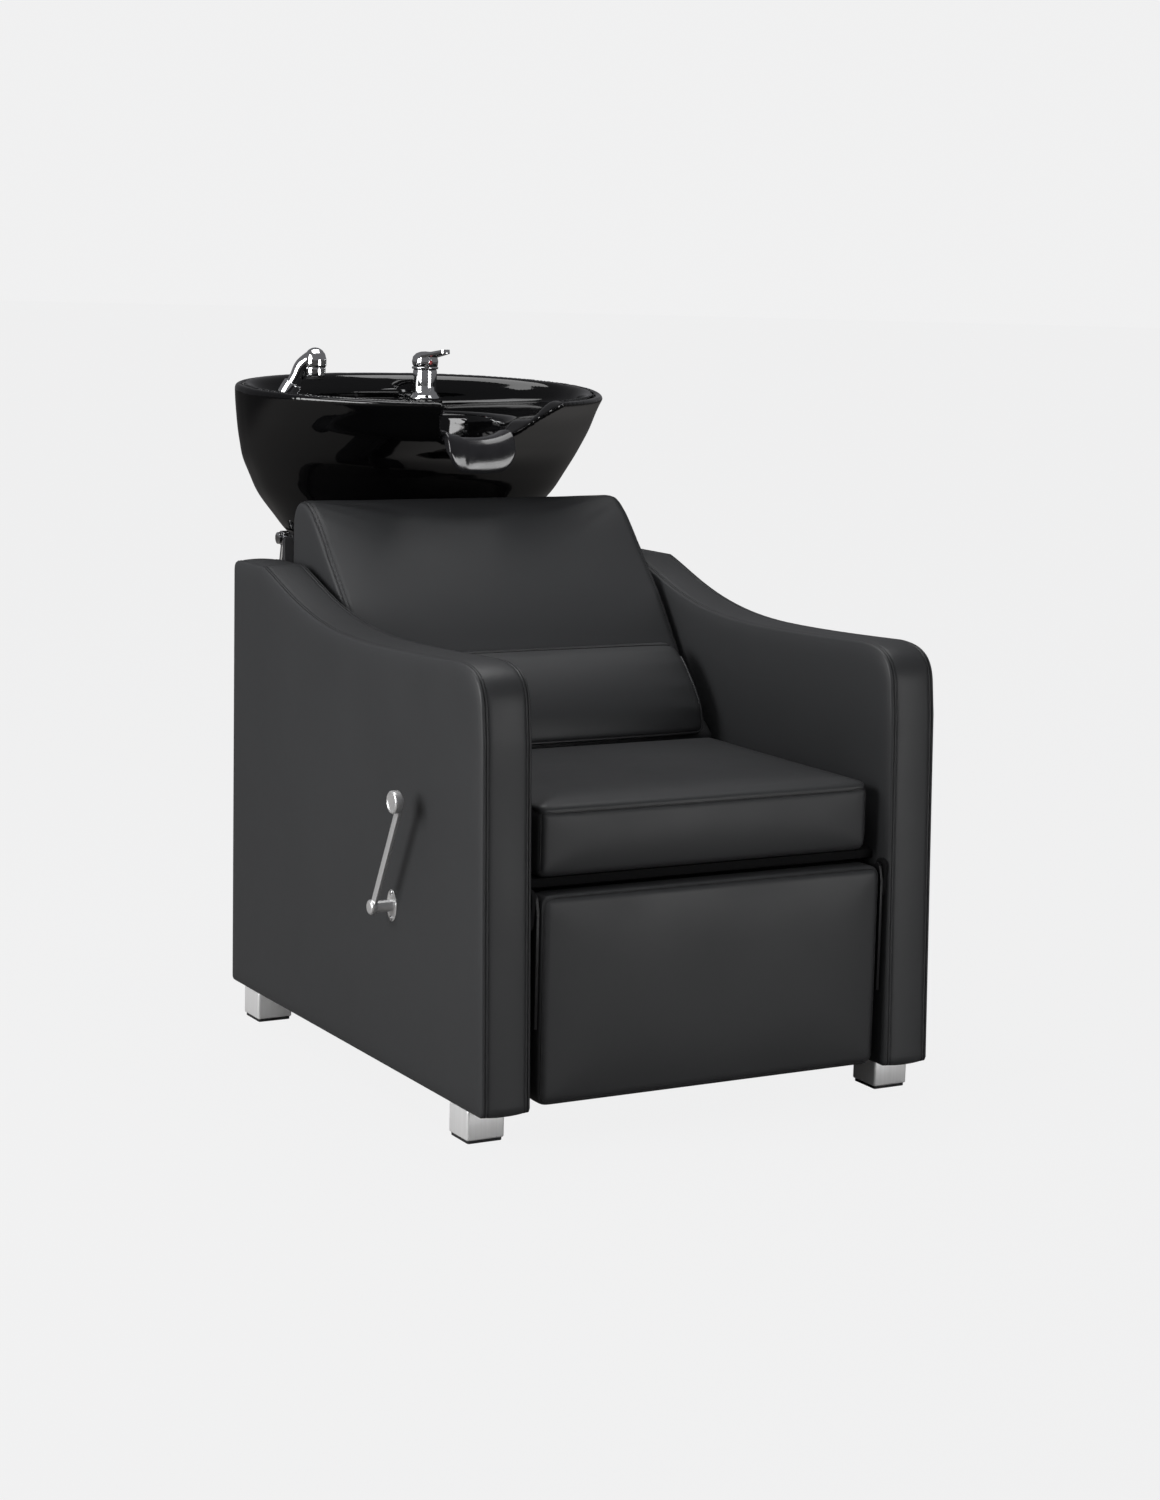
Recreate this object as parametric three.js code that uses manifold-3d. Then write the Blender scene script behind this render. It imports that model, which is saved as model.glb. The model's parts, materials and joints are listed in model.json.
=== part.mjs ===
// Shampoo backwash unit: an upholstered chair with a lever-raised footrest, and a tilting ceramic
// basin on a steel stand behind it.
//
// Millimetres, +Z up. Everything is built in the chair's own frame, where x = 0 is the centre plane,
// y = 0 is the front of the arms, +Y runs to the rear and z = 0 is the floor. The whole assembly is
// shifted at the end, so that the origin is on the floor under the middle of the overall box.
// Left and right are as seen from in front of the chair, so left is -X.

import * as THREE from "three";
import { mergeVertices } from "three/addons/utils/BufferGeometryUtils.js";
import Module from "manifold-3d";

const wasm = await Module();
wasm.setup();

// ---------------------------------------------------------------- driving dimensions

const GAP = 0.3; // clearance between pieces that touch

const ARM = { outer: 340, thick: 70, depth: 812, bottom: 44 };
const ARM_TOP = { rear: 668, seat: 602, front: 611, rearCorner: 12 };
const ARM_INNER = ARM.outer - ARM.thick;

const FOOT = { side: 53, padHeight: 4, insetX: 2.4, insetY: 43 };

const SEAT = { halfWidth: 251, front: 28, rear: 436, bottom: 337, top: 435, corner: 14 };
const DECK = { thick: 12, front: 44, rear: 778, top: SEAT.bottom - GAP };
const RAIL = { height: 38, thick: 24, frontY: 72, rearY: 738 };

const BACK = { halfWidth: 262, bottom: 345, rear: 789.5, wall: 32 };
const BACK_PANEL = { thick: 9, bottom: 62, top: 700 };

const LUMBAR = { halfBottom: 261, halfTop: 236 };

// Footrest linkage: a parallelogram of footrest bracket, link, crank and chair.
const SHAFT = { y: 261, z: 267, radius: 8, bore: 9 };
const HINGE = { y: 20, z: 318 };
const CRANK_ARM = { y: 55, z: -95 };
const PIN = { radius: 4, hole: 4.6 };
const BRACKET_PLANE = { inner: 258.5, outer: 262.5 };
const LINK_PLANE = { inner: 252, outer: 256.5 };

const FOOTREST = { front: 2, padRear: 50, boardRear: 62, bottom: 47, top: 323, halfWidth: 258 };

const LEVER = { length: 172, lean: 27, outer: 372, thick: 4, width: 11 };
const KNOB = { radius: 15, outer: 384 };
const ESCUTCHEON = { halfWidth: 17, halfHeight: 25, thick: 4, screw: 17 };

// Basin stand and tilt pivot.
const PIVOT = { y: 948, z: 684, bolt: 4, hole: 4.5 };
const STRAP = { width: 40, thick: 3, ear: 193, earTop: 693, under: 651.2 };
const STAY = { radius: 5, eyeRadius: 11, eyeThick: 10, foot: 214 };
const STAY_EYE_X = STRAP.ear + STRAP.thick + 0.6 + STAY.eyeThick / 2;
const CROSSBAR = { halfLength: 222, front: 936, depth: 23.7, bottom: 515, top: 545 };
const COLUMN = { side: 60, wall: 3, front: 960, top: 560 };
const BASE_PLATE = { halfWidth: 170, front: 832, rear: 1068, thick: 8, corner: 18 };
const TIE = { halfWidth: 25, bottom: 240, top: 290 };

// Basin sections from the foot up: height, front, half width, widest place, rear, and the roundness
// of the front half (2 is an ellipse, less is more pointed).
const BASIN_SECTIONS = [
  { z: 652, front: 853, half: 138, wide: 918, rear: 973, round: 2.0 },
  { z: 662, front: 850, half: 156, wide: 930, rear: 988, round: 2.0 },
  { z: 690, front: 848, half: 188, wide: 950, rear: 1014, round: 2.0 },
  { z: 720, front: 842, half: 214, wide: 948, rear: 1036, round: 2.0 },
  { z: 755, front: 825, half: 243, wide: 938, rear: 1052, round: 2.0 },
  { z: 780, front: 806, half: 257, wide: 930, rear: 1060, round: 1.9 },
  { z: 808, front: 776, half: 271, wide: 922, rear: 1066, round: 1.8 },
  { z: 830, front: 738, half: 278, wide: 913, rear: 1070, round: 1.7 },
  { z: 852, front: 697, half: 284, wide: 906, rear: 1073, round: 1.65 },
  { z: 878, front: 645, half: 288, wide: 903, rear: 1075, round: 1.62 },
  { z: 898, front: 594, half: 289, wide: 903, rear: 1075, round: 1.6 },
];
const RIM = { frontZ: 904, rise: 24, frontY: 625, rearY: 1072, round: 5 };
const WELL_Z = { shelf: 884, edge: 870 };
const DRAIN = { y: 900, radius: 24, top: 699 };
// Taps stand on flat round bosses of the shelf; underShelf is the height of the shelf's lower side.
const TAP_BOSS = { top: 889, bottom: 870, underShelf: 862 };
const MIXER = { x: 62, y: 1012, boss: 28, hole: 16.5 };
const SHOWER = { x: -194, y: 963, boss: 22, hole: 10.5, lean: 30, azimuth: -34, reach: 44 };
const NOTCH = { halfTop: 98, halfMid: 58, topZ: 906, midZ: 852, floor: 838, front: 540, rear: 770 };

// ---------------------------------------------------------------- materials

function paint(color, roughness, metalness) {
  return new THREE.MeshStandardMaterial({ color, roughness, metalness });
}

const LEATHER = paint(0x3f4143, 0.5, 0.0);
const BOARD = paint(0xa98a63, 0.7, 0.0);
const BLACK_STEEL = paint(0x1d1e20, 0.45, 0.3);
const CHROME = paint(0xd9dbdd, 0.1, 1.0);
const SATIN = paint(0xc4c6c8, 0.32, 1.0);
const FOOT_METAL = paint(0xb4b5b6, 0.38, 1.0);
const GLAZE = paint(0x0b0b0c, 0.08, 0.0);
const RUBBER = paint(0x1b1c1e, 0.6, 0.0);
const GEL = paint(0x2b2c2e, 0.3, 0.0);
const PLASTIC = paint(0x232425, 0.45, 0.0);
const NYLON = paint(0xd8d6cf, 0.5, 0.0);

// ---------------------------------------------------------------- assembly helpers

const unit = new THREE.Group();

function add(name, geometry, material) {
  const mesh = new THREE.Mesh(geometry, material);
  mesh.name = name;
  unit.add(mesh);
}

// The same piece on both sides: build(side) is called with side -1 for left and +1 for right.
function addPair(name, build, material) {
  add(`${name}_left`, build(-1), material);
  add(`${name}_right`, build(1), material);
}

function box(x0, x1, y0, y1, z0, z1) {
  const geometry = new THREE.BoxGeometry(Math.abs(x1 - x0), Math.abs(y1 - y0), Math.abs(z1 - z0));
  return geometry.translate((x0 + x1) / 2, (y0 + y1) / 2, (z0 + z1) / 2);
}

// A shape drawn in the plane (first, second) and extruded along the third axis from low to high.
function extrude(shape, low, high, axes, curveSegments = 10) {
  const options = { depth: high - low, bevelEnabled: false, curveSegments };
  const geometry = new THREE.ExtrudeGeometry(shape, options).translate(0, 0, low);
  return geometry.applyMatrix4(new THREE.Matrix4().makeBasis(...axes));
}

const X = new THREE.Vector3(1, 0, 0);
const Y = new THREE.Vector3(0, 1, 0);
const Z = new THREE.Vector3(0, 0, 1);

// Shape in (y, z), extruded between two x values given in either order.
function prismX(shape, xa, xb, curveSegments) {
  return extrude(shape, Math.min(xa, xb), Math.max(xa, xb), [Y, Z, X], curveSegments);
}

// Shape in (x, z), extruded between two y values.
function prismY(shape, ya, yb, curveSegments) {
  return extrude(shape, -yb, -ya, [X, Z, Y.clone().negate()], curveSegments);
}

// Shape in (x, y), extruded between two z values.
function prismZ(shape, za, zb, curveSegments) {
  return extrude(shape, za, zb, [X, Y, Z], curveSegments);
}

function cylinderX(y, z, radius, xa, xb, sides = 24) {
  const geometry = new THREE.CylinderGeometry(radius, radius, Math.abs(xb - xa), sides);
  return geometry.rotateZ(Math.PI / 2).translate((xa + xb) / 2, y, z);
}

function cylinderZ(x, y, radius, za, zb, sides = 24) {
  const geometry = new THREE.CylinderGeometry(radius, radius, zb - za, sides);
  return geometry.rotateX(Math.PI / 2).translate(x, y, (za + zb) / 2);
}

// A body turned about a vertical axis through (x, y). The profile is a list of [radius, z], given
// anticlockwise in the (radius, z) plane, so that its faces point out.
function turned(x, y, profile, sides = 32) {
  const points = profile.map(([radius, z]) => new THREE.Vector2(radius, z));
  return new THREE.LatheGeometry(points, sides).rotateX(Math.PI / 2).translate(x, y, 0);
}

function roundedRect(x0, x1, y0, y1, radius) {
  const shape = new THREE.Shape();
  shape.moveTo(x0 + radius, y0);
  shape.lineTo(x1 - radius, y0);
  shape.absarc(x1 - radius, y0 + radius, radius, -Math.PI / 2, 0);
  shape.lineTo(x1, y1 - radius);
  shape.absarc(x1 - radius, y1 - radius, radius, 0, Math.PI / 2);
  shape.lineTo(x0 + radius, y1);
  shape.absarc(x0 + radius, y1 - radius, radius, Math.PI / 2, Math.PI);
  shape.lineTo(x0, y0 + radius);
  shape.absarc(x0 + radius, y0 + radius, radius, Math.PI, Math.PI * 1.5);
  return shape;
}

// A flat bar with round ends between two points.
function barShape(ax, ay, bx, by, radius) {
  const along = Math.atan2(by - ay, bx - ax);
  const shape = new THREE.Shape();
  shape.absarc(bx, by, radius, along - Math.PI / 2, along + Math.PI / 2);
  shape.absarc(ax, ay, radius, along + Math.PI / 2, along + Math.PI * 1.5);
  return shape;
}

function circleHole(x, y, radius) {
  return new THREE.Path().absarc(x, y, radius, 0, Math.PI * 2, true);
}

// ---------------------------------------------------------------- joins and cuts

function solidOf(geometry) {
  const bare = geometry.clone();
  bare.deleteAttribute("normal");
  bare.deleteAttribute("uv");
  const welded = mergeVertices(bare, 1e-3);
  return new wasm.Manifold(
    new wasm.Mesh({
      numProp: 3,
      vertProperties: welded.attributes.position.array,
      triVerts: new Uint32Array(welded.index.array),
    }),
  );
}

function geometryOf(solid) {
  const mesh = solid.getMesh();
  const geometry = new THREE.BufferGeometry();
  geometry.setAttribute("position", new THREE.BufferAttribute(mesh.vertProperties, 3));
  geometry.setIndex(new THREE.BufferAttribute(mesh.triVerts, 1));
  geometry.computeVertexNormals();
  return geometry;
}

function join(...geometries) {
  return geometryOf(geometries.map(solidOf).reduce((whole, piece) => whole.add(piece)));
}

function cut(geometry, ...cutters) {
  const subtract = (rest, cutter) => rest.subtract(solidOf(cutter));
  return geometryOf(cutters.reduce(subtract, solidOf(geometry)));
}

// A closed skin through rings of points, each ring anticlockwise seen from above, lowest ring first.
// The lowest and the highest ring are closed with a fan about their middle.
function loft(rings) {
  const count = rings[0].length;
  const positions = rings.flat().flatMap((point) => [point.x, point.y, point.z]);
  const index = [];
  for (let row = 0; row + 1 < rings.length; row += 1) {
    for (let i = 0; i < count; i += 1) {
      const a = row * count + i;
      const b = row * count + ((i + 1) % count);
      index.push(a, b, b + count, a, b + count, a + count);
    }
  }
  const middleOf = (ring) =>
    ring.reduce((sum, point) => sum.add(point), new THREE.Vector3()).divideScalar(count);
  const low = positions.length / 3;
  const high = low + 1;
  const lastRow = (rings.length - 1) * count;
  for (const middle of [middleOf(rings[0]), middleOf(rings.at(-1))]) {
    positions.push(middle.x, middle.y, middle.z);
  }
  for (let i = 0; i < count; i += 1) {
    const next = (i + 1) % count;
    index.push(low, next, i, high, lastRow + i, lastRow + next);
  }
  const geometry = new THREE.BufferGeometry();
  geometry.setAttribute("position", new THREE.Float32BufferAttribute(positions, 3));
  geometry.setIndex(index);
  return geometry;
}

// ---------------------------------------------------------------- chair: arms, feet and frame

// Side outline of an arm in (y, z): upright front that leans back a little, a long low armrest and
// a rise to the flat top at the rear.
function armOutline() {
  const shape = new THREE.Shape();
  shape.moveTo(0, ARM.bottom);
  shape.lineTo(ARM.depth, ARM.bottom);
  const { rear, seat, front, rearCorner } = ARM_TOP;
  shape.absarc(ARM.depth - rearCorner, rear - rearCorner, rearCorner, 0, Math.PI / 2);
  shape.lineTo(712, rear);
  shape.bezierCurveTo(640, 648, 560, seat, 372, seat);
  shape.bezierCurveTo(280, seat, 180, front - 4, 97, front);
  shape.bezierCurveTo(50, front, 26, 600, 21, 565);
  shape.lineTo(16, 520);
  return shape;
}

function arm(side) {
  const outline = armOutline();
  if (side < 0) {
    outline.holes.push(circleHole(SHAFT.y, SHAFT.z, SHAFT.bore));
  }
  return prismX(outline, side * ARM_INNER, side * ARM.outer, 12);
}

// A square block under a corner of an arm, between two heights and a little smaller than the foot's
// side by shrink all round. end is -1 at the front and +1 at the rear.
function footBlock(side, end, z0, z1, shrink) {
  const half = FOOT.side / 2 - shrink;
  const x = side * (ARM.outer - FOOT.insetX - FOOT.side / 2);
  const yFront = FOOT.insetY + FOOT.side / 2;
  const y = end < 0 ? yFront : ARM.depth - yFront;
  return prismZ(roundedRect(x - half, x + half, y - half, y + half, 3), z0, z1, 3);
}

function addFeet() {
  for (const [end, place] of [[-1, "front"], [1, "rear"]]) {
    const foot = (side) => footBlock(side, end, FOOT.padHeight + GAP, ARM.bottom - GAP, 0);
    const pad = (side) => footBlock(side, end, 0, FOOT.padHeight, 2);
    addPair(`foot_${place}`, foot, FOOT_METAL);
    addPair(`foot_pad_${place}`, pad, RUBBER);
  }
}

function addFrame() {
  const reach = ARM_INNER - GAP;
  const railTop = DECK.top - DECK.thick - GAP;
  for (const [name, y] of [["front_rail", RAIL.frontY], ["rear_rail", RAIL.rearY]]) {
    add(name, box(-reach, reach, y, y + RAIL.thick, railTop - RAIL.height, railTop), BOARD);
  }
  add("seat_deck", box(-reach, reach, DECK.front, DECK.rear, DECK.top - DECK.thick, DECK.top), BOARD);
  const { bottom, top, thick } = BACK_PANEL;
  const panelFront = BACK.rear + GAP;
  add("back_panel", box(-reach, reach, panelFront, panelFront + thick, bottom, top), PLASTIC);
}

// ---------------------------------------------------------------- chair: cushions

function seatCushion() {
  const { halfWidth, front, rear, bottom, top, corner } = SEAT;
  return prismX(roundedRect(front, rear, bottom, top, corner), -halfWidth, halfWidth, 4);
}

// Side outline of the backrest in (y, z): a wedge whose front leans back and rolls over the top. With
// an inset it is the outline of the hollow behind the padding, which runs out through the rear.
function backOutline(inset) {
  const rear = BACK.rear + (inset > 0 ? 20 : 0);
  const shape = new THREE.Shape();
  shape.moveTo(SEAT.rear + 6 + inset * 1.3, BACK.bottom + inset);
  shape.lineTo(rear, BACK.bottom + inset);
  shape.lineTo(rear, 715 - inset);
  if (inset > 0) {
    shape.lineTo(705, 715 - inset);
  } else {
    shape.bezierCurveTo(789, 745, 775, 760, 755, 760);
    shape.bezierCurveTo(735, 760, 715, 744, 690, 718);
  }
  shape.lineTo(600 + inset, 622);
  shape.bezierCurveTo(545 + inset, 555, 510 + inset, 490, SEAT.rear + 6 + inset * 1.3, 435);
  return shape;
}

// A padded box, open at the rear where the back panel closes it.
function backrest() {
  const { halfWidth, wall } = BACK;
  const hollow = prismX(backOutline(wall), -halfWidth + wall, halfWidth - wall, 8);
  return cut(prismX(backOutline(0), -halfWidth, halfWidth, 8), hollow);
}

// The lumbar pillow follows the lower front of the backrest and narrows towards its top.
function lumbarPillow() {
  const stations = [
    { z: 437, front: 432, rear: 441, half: LUMBAR.halfBottom - 10 },
    { z: 446, front: 424, rear: 452, half: LUMBAR.halfBottom },
    { z: 475, front: 430, rear: 476, half: LUMBAR.halfBottom - 5 },
    { z: 505, front: 450, rear: 501, half: LUMBAR.halfBottom - 12 },
    { z: 535, front: 479, rear: 524, half: LUMBAR.halfBottom - 18 },
    { z: 553, front: 504, rear: 537, half: LUMBAR.halfTop + 3 },
    { z: 560, front: 526, rear: 541, half: LUMBAR.halfTop - 6 },
  ];
  const rings = stations.map(({ z, front, rear, half }) => {
    const ring = [];
    for (let i = 0; i < 36; i += 1) {
      const turn = (i / 36) * Math.PI * 2;
      const squared = (value) => Math.sign(value) * Math.abs(value) ** 0.45;
      ring.push(
        new THREE.Vector3(
          half * squared(Math.cos(turn)),
          (front + rear) / 2 + ((rear - front) / 2) * squared(Math.sin(turn)),
          z,
        ),
      );
    }
    return ring;
  });
  return loft(rings);
}

// ---------------------------------------------------------------- footrest and its linkage

const FOOTREST_PIN = { y: HINGE.y + CRANK_ARM.y, z: HINGE.z + CRANK_ARM.z };
const CRANK_PIN = { y: SHAFT.y + CRANK_ARM.y, z: SHAFT.z + CRANK_ARM.z };

function footrestPad() {
  const { front, padRear, bottom, top, halfWidth } = FOOTREST;
  return prismX(roundedRect(front, padRear, bottom, top, 10), -halfWidth, halfWidth, 4);
}

function footrestBoard() {
  const { padRear, boardRear, bottom, top, halfWidth } = FOOTREST;
  return box(-halfWidth + 2, halfWidth - 2, padRear + GAP, boardRear, bottom + 6, top - 4);
}

// Steel end plate of the footrest with its hinge pin, which points out into the chair's plate, and
// its link pin, which points in.
function footrestBracket(side) {
  const plate = new THREE.Shape();
  plate.moveTo(10, 150);
  plate.lineTo(56, 150);
  plate.lineTo(FOOTREST_PIN.y + 12, FOOTREST_PIN.z - 6);
  plate.absarc(FOOTREST_PIN.y, FOOTREST_PIN.z, 11, -0.5, Math.PI * 0.45);
  plate.lineTo(60, 250);
  plate.lineTo(58, 310);
  plate.lineTo(HINGE.y + 6, HINGE.z + 2);
  plate.absarc(HINGE.y, HINGE.z - 1, 6, Math.PI / 3, Math.PI);
  plate.lineTo(10, 300);
  const { inner, outer } = BRACKET_PLANE;
  const hingePin = cylinderX(HINGE.y, HINGE.z, PIN.radius, side * (outer - 1), side * (outer + 6.5), 20);
  return join(prismX(plate, side * inner, side * outer, 6), hingePin, linkPin(side, FOOTREST_PIN));
}

// A pin that points in from a bracket or crank and carries one end of a link.
function linkPin(side, { y, z }) {
  const tip = LINK_PLANE.inner - 1.5;
  return cylinderX(y, z, PIN.radius, side * tip, side * (BRACKET_PLANE.inner + 1), 20);
}

// Plate on the inside of the arm that carries the footrest's hinge pin.
function hingePlate(side) {
  const shape = barShape(HINGE.y, HINGE.z, HINGE.y + 5, HINGE.z - 34, 11);
  shape.holes.push(circleHole(HINGE.y, HINGE.z, PIN.hole));
  return prismX(shape, side * (ARM_INNER - GAP), side * (BRACKET_PLANE.outer + 1.5), 8);
}

function crank(side) {
  const shape = barShape(CRANK_PIN.y, CRANK_PIN.z, SHAFT.y, SHAFT.z, 12);
  shape.holes.push(circleHole(SHAFT.y, SHAFT.z, SHAFT.radius + 0.15));
  const { inner, outer } = BRACKET_PLANE;
  return join(prismX(shape, side * inner, side * outer, 10), linkPin(side, CRANK_PIN));
}

function link(side) {
  const shape = barShape(FOOTREST_PIN.y, FOOTREST_PIN.z, CRANK_PIN.y, CRANK_PIN.z, 9);
  shape.holes.push(circleHole(FOOTREST_PIN.y, FOOTREST_PIN.z, PIN.hole));
  shape.holes.push(circleHole(CRANK_PIN.y, CRANK_PIN.z, PIN.hole));
  return prismX(shape, side * LINK_PLANE.inner, side * LINK_PLANE.outer, 8);
}

// Nylon flange bush where the shaft meets an arm.
function shaftBearing(side) {
  const shape = new THREE.Shape().absarc(SHAFT.y, SHAFT.z, 17, 0, Math.PI * 2);
  shape.holes.push(circleHole(SHAFT.y, SHAFT.z, SHAFT.radius + 0.2));
  return prismX(shape, side * (ARM_INNER - GAP), side * (BRACKET_PLANE.outer + 0.8), 10);
}

function driveShaft() {
  return cylinderX(SHAFT.y, SHAFT.z, SHAFT.radius, -LEVER.outer + LEVER.thick + GAP, ARM_INNER - 0.8, 28);
}

function footrest() {
  add("footrest_pad", footrestPad(), LEATHER);
  add("footrest_board", footrestBoard(), BOARD);
  addPair("footrest_bracket", footrestBracket, BLACK_STEEL);
  addPair("footrest_hinge_plate", hingePlate, BLACK_STEEL);
  addPair("crank", crank, BLACK_STEEL);
  addPair("link", link, SATIN);
  addPair("shaft_bearing", shaftBearing, NYLON);
  add("drive_shaft", driveShaft(), SATIN);
}

// ---------------------------------------------------------------- side lever

const LEVER_TIP = {
  y: SHAFT.y - LEVER.length * Math.sin(THREE.MathUtils.degToRad(LEVER.lean)),
  z: SHAFT.z + LEVER.length * Math.cos(THREE.MathUtils.degToRad(LEVER.lean)),
};

function escutcheon() {
  const { halfWidth, halfHeight, thick } = ESCUTCHEON;
  const shape = new THREE.Shape().absellipse(SHAFT.y, SHAFT.z, halfWidth, halfHeight, 0, Math.PI * 2);
  shape.holes.push(circleHole(SHAFT.y, SHAFT.z, SHAFT.radius + 0.8));
  return prismX(shape, -ARM.outer - GAP, -ARM.outer - thick, 16);
}

function escutcheonScrew(sign) {
  const z = SHAFT.z + sign * ESCUTCHEON.screw;
  const seat = ARM.outer + ESCUTCHEON.thick + GAP;
  return cylinderX(SHAFT.y, z, 3.4, -seat, -seat - 1.7, 14);
}

function leverArm() {
  const outer = -LEVER.outer;
  const inner = outer + LEVER.thick;
  return join(
    prismX(barShape(SHAFT.y, SHAFT.z, LEVER_TIP.y, LEVER_TIP.z, LEVER.width / 2), outer, inner, 6),
    cylinderX(SHAFT.y, SHAFT.z, 10, outer - 2, inner - 0.2, 24),
  );
}

function leverKnob() {
  return cylinderX(LEVER_TIP.y, LEVER_TIP.z, KNOB.radius, -KNOB.outer, -LEVER.outer - GAP, 28);
}

function lever() {
  add("lever_escutcheon", escutcheon(), SATIN);
  add("escutcheon_screw_upper", escutcheonScrew(1), SATIN);
  add("escutcheon_screw_lower", escutcheonScrew(-1), SATIN);
  add("lever_arm", leverArm(), SATIN);
  add("lever_knob", leverKnob(), SATIN);
}

// ---------------------------------------------------------------- basin stand

function basePlate() {
  const { halfWidth, front, rear, thick, corner } = BASE_PLATE;
  return prismZ(roundedRect(-halfWidth, halfWidth, front, rear, corner), 0, thick, 5);
}

function column() {
  const half = COLUMN.side / 2;
  const shape = roundedRect(-half, half, COLUMN.front, COLUMN.front + COLUMN.side, 5);
  const bore = roundedRect(
    -half + COLUMN.wall,
    half - COLUMN.wall,
    COLUMN.front + COLUMN.wall,
    COLUMN.front + COLUMN.side - COLUMN.wall,
    3,
  );
  shape.holes.push(bore);
  return prismZ(shape, BASE_PLATE.thick + GAP, COLUMN.top, 3);
}

function columnCap() {
  const half = COLUMN.side / 2;
  const shape = roundedRect(-half, half, COLUMN.front, COLUMN.front + COLUMN.side, 5);
  return prismZ(shape, COLUMN.top + GAP, COLUMN.top + 5, 3);
}

function crossbar() {
  const { halfLength, front, depth, bottom, top } = CROSSBAR;
  return box(-halfLength, halfLength, front, front + depth, bottom, top);
}

// A round stay from the crossbar up to an eye beside the basin, leaning in a little.
function stay(side) {
  const foot = new THREE.Vector3(side * STAY.foot, PIVOT.y, CROSSBAR.top + 3 * GAP);
  const head = new THREE.Vector3(side * STAY_EYE_X, PIVOT.y, PIVOT.z - STAY.eyeRadius + 3);
  const rod = new THREE.ExtrudeGeometry(new THREE.Shape().absarc(0, 0, STAY.radius, 0, Math.PI * 2), {
    extrudePath: new THREE.LineCurve3(foot, head),
    steps: 1,
    curveSegments: 10,
  });
  const inner = side * (STAY_EYE_X - STAY.eyeThick / 2);
  const outer = side * (STAY_EYE_X + STAY.eyeThick / 2);
  const eye = cylinderX(PIVOT.y, PIVOT.z, STAY.eyeRadius, inner, outer, 28);
  const bore = cylinderX(PIVOT.y, PIVOT.z, PIVOT.hole, inner - 5 * side, outer + 5 * side, 20);
  return cut(join(rod, eye), bore);
}

// The bolt with a round head that the basin tilts on.
function pivotBolt(side) {
  const head = STAY_EYE_X + STAY.eyeThick / 2 + 0.5;
  return join(
    cylinderX(PIVOT.y, PIVOT.z, PIVOT.bolt, side * (STRAP.ear - 1), side * (head + 1), 20),
    cylinderX(PIVOT.y, PIVOT.z, 9, side * head, side * (head + 6), 24),
  );
}

function tieBeam() {
  const front = BACK.rear + 2 * GAP + BACK_PANEL.thick;
  return box(-TIE.halfWidth, TIE.halfWidth, front, COLUMN.front - GAP, TIE.bottom, TIE.top);
}

function stand() {
  add("stand_base_plate", basePlate(), BLACK_STEEL);
  add("stand_column", column(), BLACK_STEEL);
  add("stand_column_cap", columnCap(), PLASTIC);
  add("yoke_crossbar", crossbar(), BLACK_STEEL);
  add("tie_beam", tieBeam(), BLACK_STEEL);
  addPair("yoke_stay", stay, CHROME);
  addPair("pivot_bolt", pivotBolt, CHROME);
}

// ---------------------------------------------------------------- basin

const RING_POINTS = 56;

// How far the rim has risen above its front corners at a given depth.
function rimRise(y) {
  const t = (y - RIM.frontY) / (RIM.rearY - RIM.frontY);
  return RIM.rise * Math.max(0, t) * Math.max(0, t);
}

// One ring of the basin. The rear half is nearly an ellipse and the front half tapers to the neck.
// lift is how much of the rim's rise the ring follows.
function basinRing({ z, front, half, wide, rear, round = 2, lift = 0 }) {
  const ring = [];
  for (let i = 0; i < RING_POINTS; i += 1) {
    const turn = (i / RING_POINTS) * Math.PI * 2;
    const across = Math.cos(turn);
    const along = Math.sin(turn);
    const power = 2 / (along < 0 ? round : 2.1);
    const reach = along < 0 ? wide - front : rear - wide;
    const y = wide + Math.sign(along) * reach * Math.abs(along) ** power;
    const x = Math.sign(across) * half * Math.abs(across) ** power;
    ring.push(new THREE.Vector3(x, y, z + lift * rimRise(y)));
  }
  return ring;
}

const grown = (section, by) => ({
  ...section,
  front: section.front - by,
  half: section.half + by,
  rear: section.rear + by,
});

function basinBody() {
  const lifts = { 852: 0.4, 878: 0.8, 898: 1 };
  const sides = BASIN_SECTIONS.map((section) => ({ ...section, lift: lifts[section.z] ?? 0 }));
  const top = sides.at(-1);
  const shoulder = { ...grown(top, -0.4 * RIM.round), z: RIM.frontZ - 0.3 * RIM.round };
  const crown = { ...grown(top, -RIM.round), z: RIM.frontZ };
  return loft([...sides, shoulder, crown].map(basinRing));
}

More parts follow.
